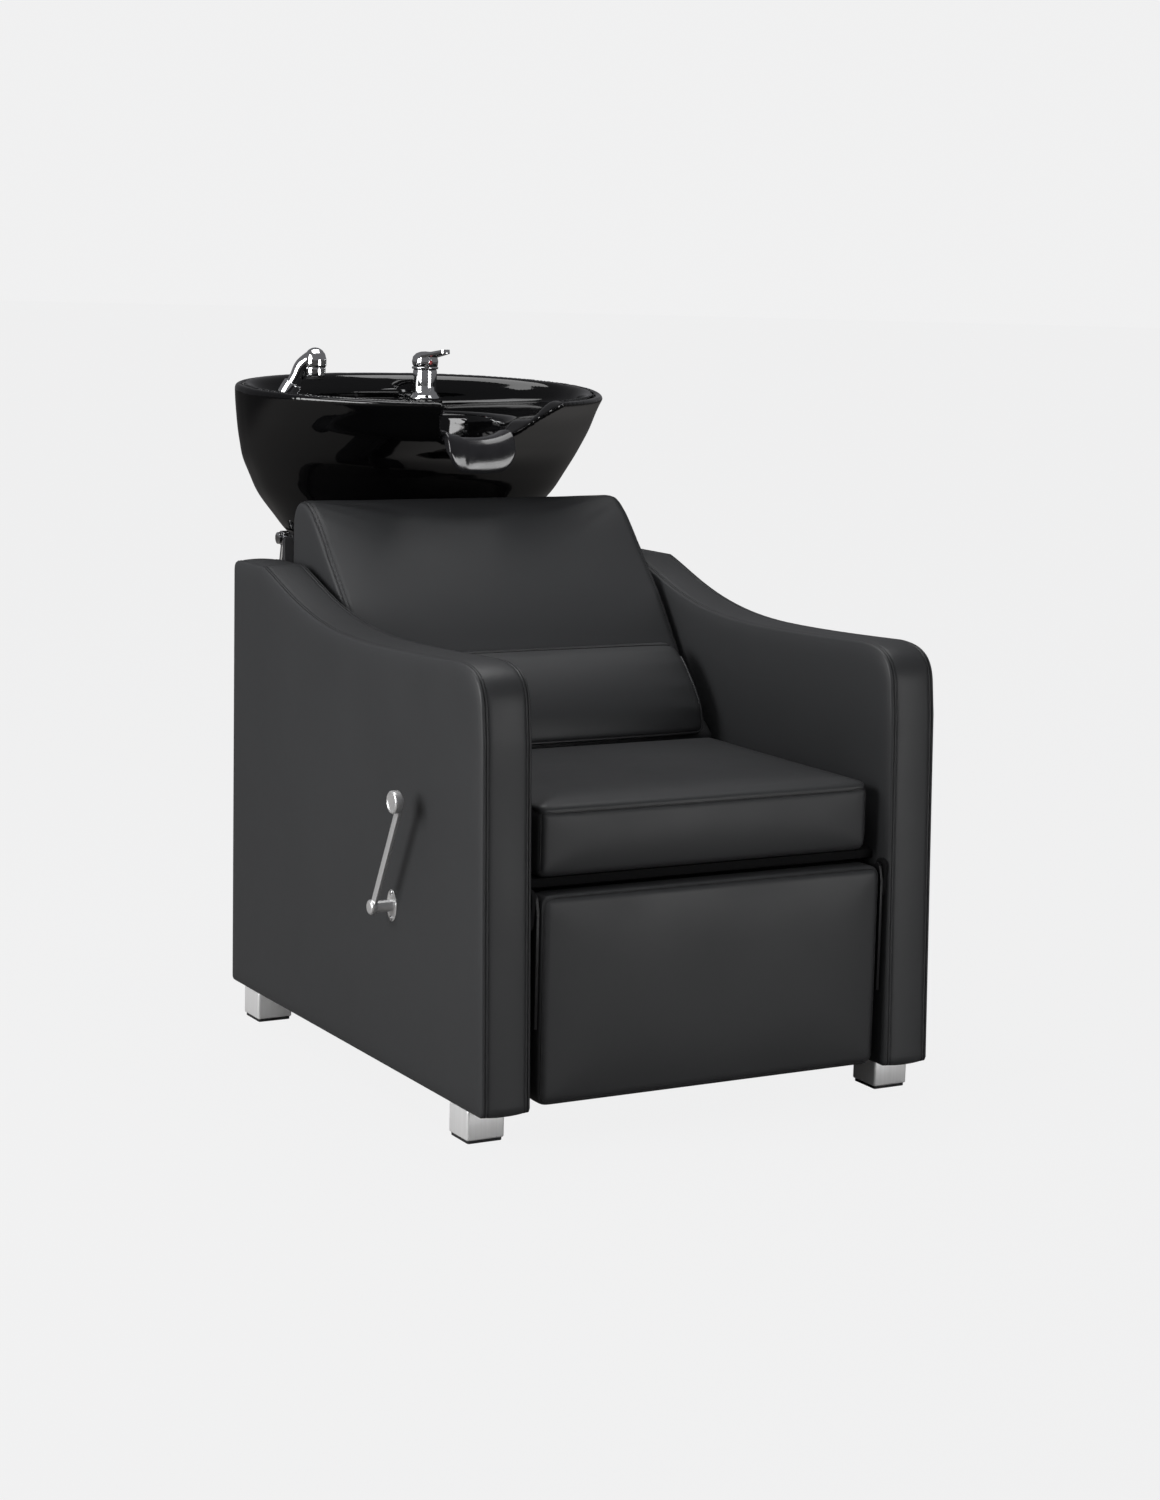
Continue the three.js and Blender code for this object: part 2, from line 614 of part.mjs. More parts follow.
// The hollow inside the rim: a short wall down to a sloping shelf, and the deep well in its middle.
function basinHollow() {
  const { shelf, edge } = WELL_Z;
  const rings = [
    { z: DRAIN.top, front: 874, half: 27, wide: DRAIN.y, rear: 926 },
    { z: 704, front: 864, half: 42, wide: DRAIN.y, rear: 934 },
    { z: 725, front: 858, half: 66, wide: 898, rear: 946 },
    { z: 760, front: 842, half: 86, wide: 892, rear: 960 },
    { z: 800, front: 806, half: 98, wide: 882, rear: 972 },
    { z: 838, front: 742, half: 106, wide: 868, rear: 980 },
    { z: edge - 6, front: 722, half: 112, wide: 860, rear: 984 },
    { z: edge, front: 712, half: 122, wide: 860, rear: 992, lift: 0.3 },
    { z: edge + 6, front: 690, half: 190, wide: 880, rear: 1022, lift: 0.45 },
    { z: shelf, front: 672, half: 244, wide: 900, rear: 1038, round: 1.8, lift: 0.05 },
    { z: shelf + 8, front: 656, half: 256, wide: 903, rear: 1046, round: 1.65, lift: 0.5 },
    { z: RIM.frontZ - 5, front: 644, half: 261, wide: 903, rear: 1051, round: 1.6, lift: 1 },
    { z: RIM.frontZ + 1, front: 636, half: 265, wide: 903, rear: 1056, round: 1.6, lift: 1 },
    { z: RIM.frontZ + 30, front: 636, half: 265, wide: 903, rear: 1056, round: 1.6, lift: 1 },
  ];
  return loft(rings.map(basinRing));
}

// The open space under the shelf, between the outer skin and the well, which keeps the walls thin.
function basinUnderside() {
  const skin = 11;
  const outside = BASIN_SECTIONS.filter(({ z }) => z < 852).map((section) => grown(section, -skin));
  const low = { ...outside[0], z: 640 };
  const high = { ...outside.at(-1), z: 856, front: 790, half: 256, rear: 1048, lift: 0.5 };
  const inside = [
    { z: 684, front: 856, half: 44, wide: DRAIN.y, rear: 944 },
    { z: 704, front: 846, half: 64, wide: 898, rear: 952 },
    { z: 725, front: 838, half: 82, wide: 896, rear: 962 },
    { z: 760, front: 820, half: 98, wide: 890, rear: 973 },
    { z: 800, front: 790, half: 109, wide: 882, rear: 983 },
    { z: 838, front: 740, half: 116, wide: 868, rear: 991 },
    { z: 880, front: 730, half: 120, wide: 868, rear: 994 },
  ];
  const frontBlock = box(-118, 118, 600, 866, 600, 900);
  return cut(loft([low, ...outside, high].map(basinRing)), loft(inside.map(basinRing)), frontBlock);
}

// The neck notch in (x, z): sloping sides that meet in a round floor.
function notchShape() {
  const { halfTop, halfMid, topZ, midZ, floor } = NOTCH;
  const shape = new THREE.Shape();
  shape.moveTo(-halfTop - 22, topZ + 26);
  shape.lineTo(-halfTop, topZ);
  shape.lineTo(-halfMid, midZ);
  shape.quadraticCurveTo(-halfMid * 0.6, floor, 0, floor);
  shape.quadraticCurveTo(halfMid * 0.6, floor, halfMid, midZ);
  shape.lineTo(halfTop, topZ);
  shape.lineTo(halfTop + 22, topZ + 26);
  return shape;
}

function tapBoss({ x, y, boss }) {
  return cylinderZ(x, y, boss, TAP_BOSS.bottom, TAP_BOSS.top, 28);
}

function tapHole({ x, y, hole }) {
  return cylinderZ(x, y, hole, 840, 900, 24);
}

function basin() {
  const shell = cut(basinBody(), basinHollow(), basinUnderside());
  return cut(
    join(shell, tapBoss(MIXER), tapBoss(SHOWER)),
    prismY(notchShape(), NOTCH.front, NOTCH.rear, 8),
    cylinderZ(0, DRAIN.y, DRAIN.radius, 640, 720, 32),
    tapHole(MIXER),
    tapHole(SHOWER),
  );
}

// The height of the notch's floor at a given distance from the centre plane.
function notchFloor(x) {
  const { halfMid, midZ, floor } = NOTCH;
  const share = Math.min(1, Math.abs(x) / halfMid);
  const t = 3 - Math.sqrt(9 - 5 * share);
  return floor + (midZ - floor) * t * t;
}

// Soft neck rest: it lies in the notch, rolls over the lip and hangs down in front of it.
function neckRest() {
  const half = 53;
  const rings = [];
  for (let i = 0; i <= 20; i += 1) {
    const x = -half + (i / 20) * 2 * half;
    const floor = notchFloor(x) + 1.5;
    const edge = Math.abs(x) / half;
    const drop = 42 - 18 * edge ** 2;
    const section = [
      [748 - 4 * edge, floor],
      [748 - 4 * edge, floor + 4],
      [732, floor + 7.5],
      [714, floor + 8.5],
      [702, floor + 5],
      [693, floor - 4],
      [689, floor - 18],
      [688, floor - drop + 3],
      [691, floor - drop],
      [696, floor - drop + 2],
      [699, floor - 17],
      [702, floor - 6],
      [709, floor],
    ];
    rings.push(section.map(([y, z]) => new THREE.Vector3(x, y, z)));
  }
  return loft(rings);
}

// Steel strap under the basin with an ear on each side for the pivot bolt.
function tiltStrap() {
  const { ear, thick, width, earTop, under } = STRAP;
  const lower = [[ear + thick, earTop], [ear + thick, 672], [162, under - thick]];
  const upper = [[148, under], [ear, 677], [ear, earTop]];
  const mirrored = (points) => points.map(([x, z]) => [-x, z]).reverse();
  const outline = [...lower, ...mirrored(lower), ...mirrored(upper), ...upper];
  const shape = new THREE.Shape();
  shape.moveTo(...outline[0]);
  for (const [x, z] of outline.slice(1)) {
    shape.lineTo(x, z);
  }
  const strap = prismY(shape, PIVOT.y - width / 2, PIVOT.y + width / 2, 4);
  return cut(strap, cylinderX(PIVOT.y, PIVOT.z, PIVOT.hole, -ear - 20, ear + 20, 20));
}

function drainFlange() {
  const z = DRAIN.top;
  return turned(0, DRAIN.y, [
    [20, z - 24],
    [22.6, z - 24],
    [22.6, z + 0.4],
    [26, z + 0.4],
    [26, z + 1.6],
    [23, z + 2.6],
    [20, z + 1.4],
    [20, z - 24],
  ]);
}

function drainTailpiece() {
  return turned(0, DRAIN.y, [
    [16, 600],
    [19, 600],
    [19, 640],
    [27, 641],
    [27, 674],
    [20.5, 674.5],
    [16, 674.5],
    [16, 600],
  ]);
}

// Perforated basket that drops into the drain, with a small lifting knob.
function drainStrainer() {
  const z = DRAIN.top;
  const basket = turned(0, DRAIN.y, [
    [0, z - 8],
    [17, z - 8],
    [19, z + 2],
    [22, z + 3],
    [22, z + 4],
    [17.5, z + 3.6],
    [15.5, z - 6],
    [4, z - 6],
    [3, z + 2],
    [4.5, z + 5],
    [3, z + 7],
    [0, z + 7.5],
  ]);
  const holes = [];
  for (let i = 0; i < 8; i += 1) {
    const turn = (i / 8) * Math.PI * 2;
    const x = 10 * Math.cos(turn);
    const y = DRAIN.y + 10 * Math.sin(turn);
    holes.push(cylinderZ(x, y, 2.2, z - 12, z - 2, 10));
  }
  return cut(basket, ...holes);
}

// ---------------------------------------------------------------- taps and hand shower

const MIXER_TOP = TAP_BOSS.top + 46;
const SHANK_END = TAP_BOSS.underShelf - GAP - 22;

function mixerBody() {
  const z = TAP_BOSS.top;
  const nut = TAP_BOSS.underShelf - GAP;
  return turned(MIXER.x, MIXER.y, [
    [0, SHANK_END],
    [15, SHANK_END],
    [15, nut - 8],
    [22, nut - 8],
    [22, nut],
    [15, nut],
    [15, z + GAP],
    [24, z + GAP],
    [24, z + 3],
    [20, z + 6],
    [18.5, z + 11],
    [18.5, MIXER_TOP],
    [0, MIXER_TOP],
  ]);
}

function mixerRing() {
  const z = MIXER_TOP + GAP;
  return turned(MIXER.x, MIXER.y, [[0, z], [20, z], [20.6, z + 2], [20, z + 4], [0, z + 4]]);
}

// Domed cap with the flat lever that points to the front. Its skirt is cut away at the rear, so
// that it can tip up.
function mixerLever() {
  const z = MIXER_TOP + 4 + 2 * GAP;
  const dome = turned(MIXER.x, MIXER.y, [
    [0, z],
    [19.5, z],
    [20.5, z + 8],
    [19, z + 15],
    [14, z + 20],
    [7, z + 22.5],
    [0, z + 23],
  ]);
  const handle = new THREE.Shape();
  handle.moveTo(-14, -8);
  handle.bezierCurveTo(-13, -40, -9, -52, -8, -68);
  handle.absarc(0, -68, 8, Math.PI, 0);
  handle.bezierCurveTo(9, -52, 13, -40, 14, -8);
  const blade = prismZ(handle, -3, 3, 8)
    .rotateX(THREE.MathUtils.degToRad(-8))
    .translate(MIXER.x, MIXER.y, z + 15);
  const wedge = new THREE.Shape();
  wedge.moveTo(MIXER.y - 4, z - 2);
  wedge.lineTo(MIXER.y + 30, z - 2);
  wedge.lineTo(MIXER.y + 30, z + 15);
  return cut(join(dome, blade), prismX(wedge, MIXER.x - 30, MIXER.x + 30, 2));
}

// Threaded copper tail that a flexible supply hose screws on to.
function inletTail(side) {
  return cylinderZ(MIXER.x + side * 8, MIXER.y, 5, SHANK_END - 40, SHANK_END - GAP, 20);
}

const SHOWER_LEAN = THREE.MathUtils.degToRad(SHOWER.lean);
const SHOWER_AZIMUTH = THREE.MathUtils.degToRad(SHOWER.azimuth);
const SHOWER_AXIS = new THREE.Vector3(
  Math.sin(SHOWER_LEAN) * Math.cos(SHOWER_AZIMUTH),
  Math.sin(SHOWER_LEAN) * Math.sin(SHOWER_AZIMUTH),
  Math.cos(SHOWER_LEAN),
);
const SHOWER_SEAT = new THREE.Vector3(SHOWER.x, SHOWER.y, TAP_BOSS.top + 8);

// A point above the seat, a given distance out in the direction that the shower leans.
function outFromSeat(distance, z) {
  const x = SHOWER.x + distance * Math.cos(SHOWER_AZIMUTH);
  return new THREE.Vector3(x, SHOWER.y + distance * Math.sin(SHOWER_AZIMUTH), z);
}

// A cylinder along the leaning axis of the shower, between two distances from its seat.
function leaning(radiusLow, radiusHigh, from, to, sides = 28) {
  const geometry = new THREE.CylinderGeometry(radiusHigh, radiusLow, to - from, sides);
  geometry.translate(0, (from + to) / 2, 0);
  geometry.applyQuaternion(new THREE.Quaternion().setFromUnitVectors(Y, SHOWER_AXIS));
  return geometry.translate(SHOWER_SEAT.x, SHOWER_SEAT.y, SHOWER_SEAT.z);
}

function showerHolder() {
  const z = TAP_BOSS.top;
  const flange = turned(SHOWER.x, SHOWER.y, [
    [0, z - 36],
    [9.5, z - 36],
    [9.5, z + GAP],
    [19, z + GAP],
    [19, z + 4],
    [15, z + 9],
    [0, z + 9],
  ]);
  return cut(join(flange, leaning(15, 14, 0, 22)), leaning(11, 11, 4, 40));
}

function showerHandset() {
  const point = (t) => SHOWER_SEAT.clone().addScaledVector(SHOWER_AXIS, t);
  const route = new THREE.CatmullRomCurve3([
    point(5),
    point(18),
    point(32),
    outFromSeat(SHOWER.reach - 19, 942),
    outFromSeat(SHOWER.reach - 6, 953),
  ]);
  const tube = new THREE.ExtrudeGeometry(new THREE.Shape().absarc(0, 0, 10.5, 0, Math.PI * 2), {
    extrudePath: route,
    steps: 10,
    curveSegments: 10,
  });
  const { x, y } = outFromSeat(SHOWER.reach, 0);
  const head = turned(x, y, [
    [0, 926],
    [14, 926],
    [15, 930],
    [15, 940],
    [16.5, 946],
    [16.5, 954],
    [13, 963],
    [7, 968],
    [0, 970],
  ]);
  return join(tube, head);
}

function showerFace() {
  const { x, y } = outFromSeat(SHOWER.reach, 0);
  return turned(x, y, [[0, 922], [11, 922], [12.5, 923], [12.5, 926 - GAP], [0, 926 - GAP]]);
}

function basinAssembly() {
  add("basin", basin(), GLAZE);
  add("neck_rest", neckRest(), GEL);
  add("tilt_strap", tiltStrap(), BLACK_STEEL);
  add("drain_flange", drainFlange(), CHROME);
  add("drain_tailpiece", drainTailpiece(), PLASTIC);
  add("drain_strainer", drainStrainer(), CHROME);
  add("mixer_body", mixerBody(), CHROME);
  add("mixer_ring", mixerRing(), CHROME);
  add("mixer_lever", mixerLever(), CHROME);
  add("inlet_tail_hot", inletTail(-1), SATIN);
  add("inlet_tail_cold", inletTail(1), SATIN);
  add("shower_holder", showerHolder(), CHROME);
  add("shower_handset", showerHandset(), CHROME);
  add("shower_face", showerFace(), RUBBER);
}

// ---------------------------------------------------------------- the unit

addPair("arm", arm, LEATHER);
addFeet();
addFrame();
add("seat_cushion", seatCushion(), LEATHER);
add("backrest", backrest(), LEATHER);
add("lumbar_pillow", lumbarPillow(), LEATHER);
footrest();
lever();
stand();
basinAssembly();

const overall = new THREE.Box3().setFromObject(unit);
unit.position.set(-(overall.min.x + overall.max.x) / 2, -(overall.min.y + overall.max.y) / 2, 0);

const group = new THREE.Group();
group.name = "shampoo_backwash_unit";
group.add(unit);

export default group;
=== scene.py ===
"""Shampoo backwash unit: the looks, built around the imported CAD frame.

Shapes are written in the chair's own frame, in millimetres: x = 0 is the chair's middle plane, y = 0 the
front of the arms, +Y runs to the basin and z = 0 is the floor. at() and put() turn that into the row frame,
in metres.
"""

import json
import math
from contextlib import contextmanager

import bmesh
import bpy
import numpy as np
from mathutils import Matrix, Vector
from mathutils.bvhtree import BVHTree
from mathutils.geometry import delaunay_2d_cdt

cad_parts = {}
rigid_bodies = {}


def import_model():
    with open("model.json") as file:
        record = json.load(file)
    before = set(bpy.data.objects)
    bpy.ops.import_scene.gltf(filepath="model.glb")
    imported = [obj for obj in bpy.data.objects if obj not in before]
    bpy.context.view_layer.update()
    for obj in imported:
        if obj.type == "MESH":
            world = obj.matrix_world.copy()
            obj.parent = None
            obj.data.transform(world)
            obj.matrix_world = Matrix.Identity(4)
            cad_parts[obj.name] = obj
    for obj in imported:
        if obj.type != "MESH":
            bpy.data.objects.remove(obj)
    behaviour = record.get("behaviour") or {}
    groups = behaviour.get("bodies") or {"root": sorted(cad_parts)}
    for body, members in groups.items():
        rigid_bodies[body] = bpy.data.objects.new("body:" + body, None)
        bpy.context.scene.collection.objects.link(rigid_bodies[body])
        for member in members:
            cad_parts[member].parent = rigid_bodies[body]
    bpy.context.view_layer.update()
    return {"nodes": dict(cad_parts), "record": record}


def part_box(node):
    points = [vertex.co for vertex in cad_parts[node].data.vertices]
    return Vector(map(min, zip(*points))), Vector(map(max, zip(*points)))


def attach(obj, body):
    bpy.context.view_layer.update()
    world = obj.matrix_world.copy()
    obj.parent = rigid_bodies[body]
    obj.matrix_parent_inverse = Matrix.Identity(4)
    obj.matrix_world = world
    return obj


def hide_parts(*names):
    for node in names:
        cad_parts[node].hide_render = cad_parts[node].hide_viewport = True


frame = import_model()
RECORD_BODIES = frame["record"]["behaviour"]["bodies"]
BODY_OF = {node: body for body, nodes in RECORD_BODIES.items() for node in nodes}

MM = 0.001
WELD_M = 2e-5  # points of a built mesh this close are one


def chair_origin():
    """The row frame's point that is (0, 0, 0) in the chair's frame."""
    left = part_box("arm_left")
    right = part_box("arm_right")
    return Vector(((left[0].x + right[1].x) / 2, left[0].y, 0.0))


ORIGIN = chair_origin()


def at(x, y, z):
    return ORIGIN + Vector((x, y, z)) * MM


def chair_box(node):
    """A CAD node's lowest and highest corners in the chair's frame, in millimetres."""
    low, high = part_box(node)
    return (low - ORIGIN) / MM, (high - ORIGIN) / MM


# ------------------------------------------------------------------ camera, floor and lights

# place in the chair's frame, turns in degrees, lens, sensor width and view distance
CAMERA = {
    "place": (-2013.1, -3219.3, 1108.2),
    "yaw": 29.23,
    "pitch": 9.27,
    "roll": 1.36,
    "lens": 72.0,
    "sensor": 36.0,
    "sees_m": 200.0,
}


def make_camera():
    yaw, pitch, roll = (math.radians(CAMERA[k]) for k in ("yaw", "pitch", "roll"))
    right = Vector((math.cos(yaw), -math.sin(yaw), 0))
    look = Vector((math.sin(yaw) * math.cos(pitch), math.cos(yaw) * math.cos(pitch), -math.sin(pitch)))
    up = right.cross(look)
    x_axis = math.cos(roll) * right + math.sin(roll) * up
    y_axis = math.cos(roll) * up - math.sin(roll) * right
    turn = Matrix((x_axis, y_axis, -look)).transposed().to_4x4()
    data = bpy.data.cameras.new("camera")
    data.lens = CAMERA["lens"]
    data.sensor_width = CAMERA["sensor"]
    data.clip_end = CAMERA["sees_m"]
    camera = bpy.data.objects.new("camera", data)
    bpy.context.scene.collection.objects.link(camera)
    camera.matrix_world = Matrix.Translation(at(*CAMERA["place"])) @ turn
    bpy.context.scene.camera = camera


BACKDROP_GREY = 0.875  # linear, the pale grey of the studio
BACKDROP_BLUE = 1.003  # its blue as a share of that
WORLD_LIGHT = 0.40
WORLD_IN_GLOSS = 0.15


def make_world():
    """A pale world that the camera sees. Reflections see a darker one, as under studio flags."""
    world = bpy.data.worlds.new("studio")
    bpy.context.scene.world = world
    world.use_nodes = True
    nodes = world.node_tree.nodes
    links = world.node_tree.links
    nodes.clear()
    path = nodes.new("ShaderNodeLightPath")

    def background(level, blue):
        made = nodes.new("ShaderNodeBackground")
        made.inputs["Color"].default_value = (level, level, level * blue, 1)
        return made.outputs[0]

    def chosen(ray, otherwise, then):
        made = nodes.new("ShaderNodeMixShader")
        links.new(path.outputs[ray], made.inputs["Fac"])
        links.new(otherwise, made.inputs[1])
        links.new(then, made.inputs[2])
        return made.outputs[0]

    unseen = chosen("Is Glossy Ray", background(WORLD_LIGHT, 1.02), background(WORLD_IN_GLOSS, 1.05))
    surface = chosen("Is Camera Ray", unseen, background(BACKDROP_GREY, BACKDROP_BLUE))
    links.new(surface, nodes.new("ShaderNodeOutputWorld").inputs["Surface"])


# name: place and target in the chair's frame in metres, size, power in watts, the group that sees it
SOFTBOXES = {
    "key_left": ((-3.3, 0.3, 1.5), (0.0, 0.35, 0.45), (2.0, 2.0), 122, None),
    "top": ((0.0, 0.9, 3.3), (0.0, 0.4, 0.5), (2.4, 1.8), 52, None),
    "front_fill": ((1.9, -4.1, 0.6), (0.0, 0.3, 0.3), (2.2, 1.2), 64, None),
    "strip_left": ((-1.25, 1.42, 0.42), (-0.28, 0.86, 0.87), (0.08, 0.6), 2.2, "glossy"),
    "window_over": ((-0.1, 1.4, 2.2), (0.2, 0.95, 0.89), (0.42, 0.26), 7, "glossy"),
    "window_rear": ((-0.9, 2.6, 1.8), (0.1, 0.9, 0.85), (0.4, 0.2), 10, "glossy"),
    "window_front": ((0.9, -1.6, 2.6), (0.1, 0.9, 0.85), (0.5, 0.3), 9, "glossy"),
    "panel_left": ((-3.4, 3.6, 0.7), (0.0, 0.2, 0.2), (4.0, 2.6), 110, "metal"),
    "panel_right": ((3.4, -3.8, 0.7), (0.0, 0.2, 0.2), (4.0, 2.6), 520, "metal"),
    "panel_side": ((-4.2, -1.5, 0.9), (-0.3, 0.2, 0.3), (2.6, 2.0), 85, "metal"),
}
LIT_GROUPS = {
    "glossy": {"glaze", "gel", "chrome"},
    "metal": {"satin_steel", "foot_metal"},
}


def lit_group(name):
    """A collection of the pieces made of one group's materials. A softbox can be kept to it."""
    group = bpy.data.collections.new("lit_" + name)
    for piece in bpy.context.scene.objects:
        if piece.type == "MESH" and used_materials(piece) & LIT_GROUPS[name]:
            group.objects.link(piece)
    return group


def make_softboxes():
    """Studio softboxes. Those with a group only draw the highlights on its shiny pieces."""
    groups = {name: lit_group(name) for name in LIT_GROUPS}
    for name, (place, target, size, power, group) in SOFTBOXES.items():
        data = bpy.data.lights.new(name, "AREA")
        data.shape = "RECTANGLE"
        data.size, data.size_y = size
        data.energy = power
        lamp = bpy.data.objects.new(name, data)
        bpy.context.scene.collection.objects.link(lamp)
        lamp.location = at(*(1000 * c for c in place))
        aim = at(*(1000 * c for c in target)) - lamp.location
        lamp.rotation_euler = aim.to_track_quat("-Z", "Y").to_euler()
        if group:
            lamp.light_linking.receiver_collection = groups[group]


# ------------------------------------------------------------------ node materials


class Shader:
    """A Principled material with short helpers for the nodes in front of it."""

    def __init__(self, name, **sockets):
        self.material = bpy.data.materials.new(name)
        self.material.use_nodes = True
        self.tree = self.material.node_tree
        self.bsdf = self.tree.nodes["Principled BSDF"]
        for socket, value in sockets.items():
            self.bsdf.inputs[socket.replace("_", " ")].default_value = value
        self.place = self.tree.nodes.new("ShaderNodeTexCoord").outputs["Object"]
        self.height = None

    def node(self, kind, **inputs):
        made = self.tree.nodes.new("ShaderNode" + kind)
        for name, value in inputs.items():
            self.feed(made.inputs[name.replace("_", " ")], value)
        return made

    def feed(self, socket, value):
        if isinstance(value, bpy.types.NodeSocket):
            self.tree.links.new(value, socket)
        else:
            socket.default_value = value

    def stretched(self, scale):
        """The object's coordinates, stretched along each axis."""
        mapping = self.node("Mapping", Vector=self.place)
        mapping.inputs["Scale"].default_value = scale
        return mapping.outputs["Vector"]

    def noise(self, scale, detail=3.0, roughness=0.5, vector=None):
        vector = vector or self.place
        made = self.node("TexNoise", Vector=vector, Scale=scale, Detail=detail, Roughness=roughness)
        return made.outputs["Fac"]

    def cells(self, scale, feature="F1", vector=None):
        made = self.node("TexVoronoi", Vector=vector or self.place, Scale=scale)
        made.feature = feature
        return made.outputs["Distance"]

    def span(self, value, low, high, from_low=0.0, from_high=1.0):
        limits = {"From_Min": from_low, "From_Max": from_high, "To_Min": low, "To_Max": high}
        return self.node("MapRange", Value=value, **limits).outputs["Result"]

    def mix(self, factor, first, second, blend="MIX"):
        made = self.tree.nodes.new("ShaderNodeMix")
        made.data_type = "RGBA"
        made.blend_type = blend
        self.feed(made.inputs[0], factor)
        for socket, colour in ((made.inputs[6], first), (made.inputs[7], second)):
            self.feed(socket, colour if isinstance(colour, bpy.types.NodeSocket) else (*colour, 1))
        return made.outputs[2]

    def edges(self, low, high, strength):
        """Strength on convex edges and 0 on flat places, by the surface's pointiness."""
        pointed = self.node("NewGeometry").outputs["Pointiness"]
        return self.span(pointed, 0.0, strength, low, high)

    def attribute(self, name):
        made = self.tree.nodes.new("ShaderNodeAttribute")
        made.attribute_name = name
        return made.outputs["Fac"]

    def colour(self, value):
        self.feed(self.bsdf.inputs["Base Color"], value)

    def roughness(self, value):
        self.feed(self.bsdf.inputs["Roughness"], value)

    def bump(self, height, distance_mm, strength=1.0):
        """Adds a layer of relief on top of those already there."""
        made = self.node("Bump", Height=height, Strength=strength, Distance=distance_mm * MM)
        if self.height is not None:
            self.feed(made.inputs["Normal"], self.height)
        self.height = made.outputs["Normal"]
        self.feed(self.bsdf.inputs["Normal"], self.height)


def leather_material(name, dark, light, rough=(0.46, 0.52), seam=True):
    """Smooth coated upholstery cover: fine pebble grain, faint mottling, and a painted highlight that
    lightens its convex edges. With seam, painted shade darkens it along its seams.
    """
    m = Shader(name, Specular_IOR_Level=0.34)
    mottle = m.noise(3.2, 3.0)
    body = m.mix(m.span(mottle, 0, 1, 0.25, 0.75), dark, light)
    # painted highlight: convex edges lightened in colour, standing in for the soft sheen of light along them
    body = m.mix(m.edges(0.51, 0.58, 0.3), body, tuple(c * 1.6 for c in light))
    grain = m.cells(780.0)
    body = m.mix(m.span(grain, 0.16, 0.0, 0.0, 0.5), body, tuple(c * 0.45 for c in dark))
    # painted shade: the seam attribute darkens the cover in the seam creases and stitch rows
    if seam:
        body = m.mix(m.attribute("seam"), body, (0.003, 0.003, 0.0035))
    m.colour(body)
    smudge = m.noise(9.0, 3.0)
    m.roughness(m.span(smudge, rough[0], rough[1], 0.3, 0.7))
    m.bump(m.noise(6.0, 2.0), 1.6, 0.12)
    m.bump(grain, 0.10, 0.42)
    m.bump(m.noise(2600.0, 2.0), 0.03, 0.4)
    return m.material


def thread_material():
    m = Shader("thread", Specular_IOR_Level=0.3)
    strands = m.node("TexWave", Vector=m.place, Scale=1900.0, Distortion=2.0).outputs["Fac"]
    m.colour(m.mix(strands, (0.006, 0.006, 0.007), (0.022, 0.022, 0.024)))
    m.roughness(m.span(strands, 0.55, 0.75))
    m.bump(strands, 0.06, 0.6)
    return m.material


def plywood_material():
    m = Shader("plywood", Specular_IOR_Level=0.3)
    along = m.stretched((3.0, 40.0, 190.0))
    rings = m.noise(1.6, 6.0, 0.6, along)
    plies = m.node("TexWave", Vector=m.place, Scale=95.0, Distortion=0.6)
    plies.bands_direction = "Z"
    wood = m.mix(m.span(rings, 0, 1, 0.3, 0.7), (0.36, 0.22, 0.11), (0.55, 0.38, 0.21))
    m.colour(m.mix(m.span(plies.outputs["Fac"], 0, 0.35), wood, (0.23, 0.13, 0.06)))
    m.roughness(m.span(rings, 0.55, 0.75))
    m.bump(rings, 0.25, 0.5)
    return m.material


def black_steel_material():
    """Powder coat: fine orange peel, faint dust, edges a little worn."""
    m = Shader("black_steel", Specular_IOR_Level=0.22)
    cloud = m.noise(40.0, 4.0)
    body = m.mix(cloud, (0.004, 0.004, 0.0045), (0.009, 0.009, 0.010))
    m.colour(m.mix(m.edges(0.54, 0.66, 0.25), body, (0.02, 0.02, 0.021)))
    m.roughness(m.span(cloud, 0.34, 0.5, 0.3, 0.7))
    m.bump(m.noise(950.0, 2.0), 0.05, 0.5)
    return m.material


def chrome_material():
    m = Shader("chrome", Metallic=1.0)
    haze = m.noise(60.0, 5.0)
    m.colour(m.mix(haze, (0.72, 0.725, 0.735), (0.86, 0.865, 0.87)))
    m.roughness(m.span(haze, 0.045, 0.12, 0.35, 0.75))
    m.bump(m.noise(260.0, 2.0), 0.02, 0.2)
    return m.material


def satin_material(name, tone, rough, brushed_along, metallic):
    """Brushed metal: fine scratches along one axis."""
    m = Shader(name, Metallic=metallic)
    lines = m.noise(1.0, 4.0, 0.7, m.stretched(brushed_along))
    m.colour(m.mix(lines, (tone * 0.86,) * 3, (tone * 1.06,) * 3))
    m.roughness(m.span(lines, rough[0], rough[1], 0.25, 0.75))
    m.bump(lines, 0.02, 0.5)
    return m.material


def glaze_material():
    """Black vitreous glaze: a clear gloss with a very slight orange peel."""
    m = Shader("glaze", IOR=1.50)
    specks = m.noise(420.0, 2.0)
    m.colour(m.mix(m.span(specks, 0, 1, 0.66, 0.8), (0.0015, 0.0015, 0.0017), (0.004, 0.004, 0.0045)))
    haze = m.noise(16.0, 3.0)
    m.roughness(m.span(haze, 0.03, 0.07, 0.3, 0.7))
    m.bump(m.noise(24.0, 2.0), 1.0, 0.16)
    m.bump(m.noise(210.0, 2.0), 0.05, 0.08)
    return m.material


def biscuit_material():
    """Unglazed ceramic where the basin stood in the kiln."""
    m = Shader("biscuit", Specular_IOR_Level=0.25)
    clay = m.noise(130.0, 5.0)
    m.colour(m.mix(clay, (0.30, 0.27, 0.23), (0.42, 0.38, 0.33)))
    m.roughness(m.span(clay, 0.7, 0.9))
    m.bump(clay, 0.3, 0.5)
    return m.material


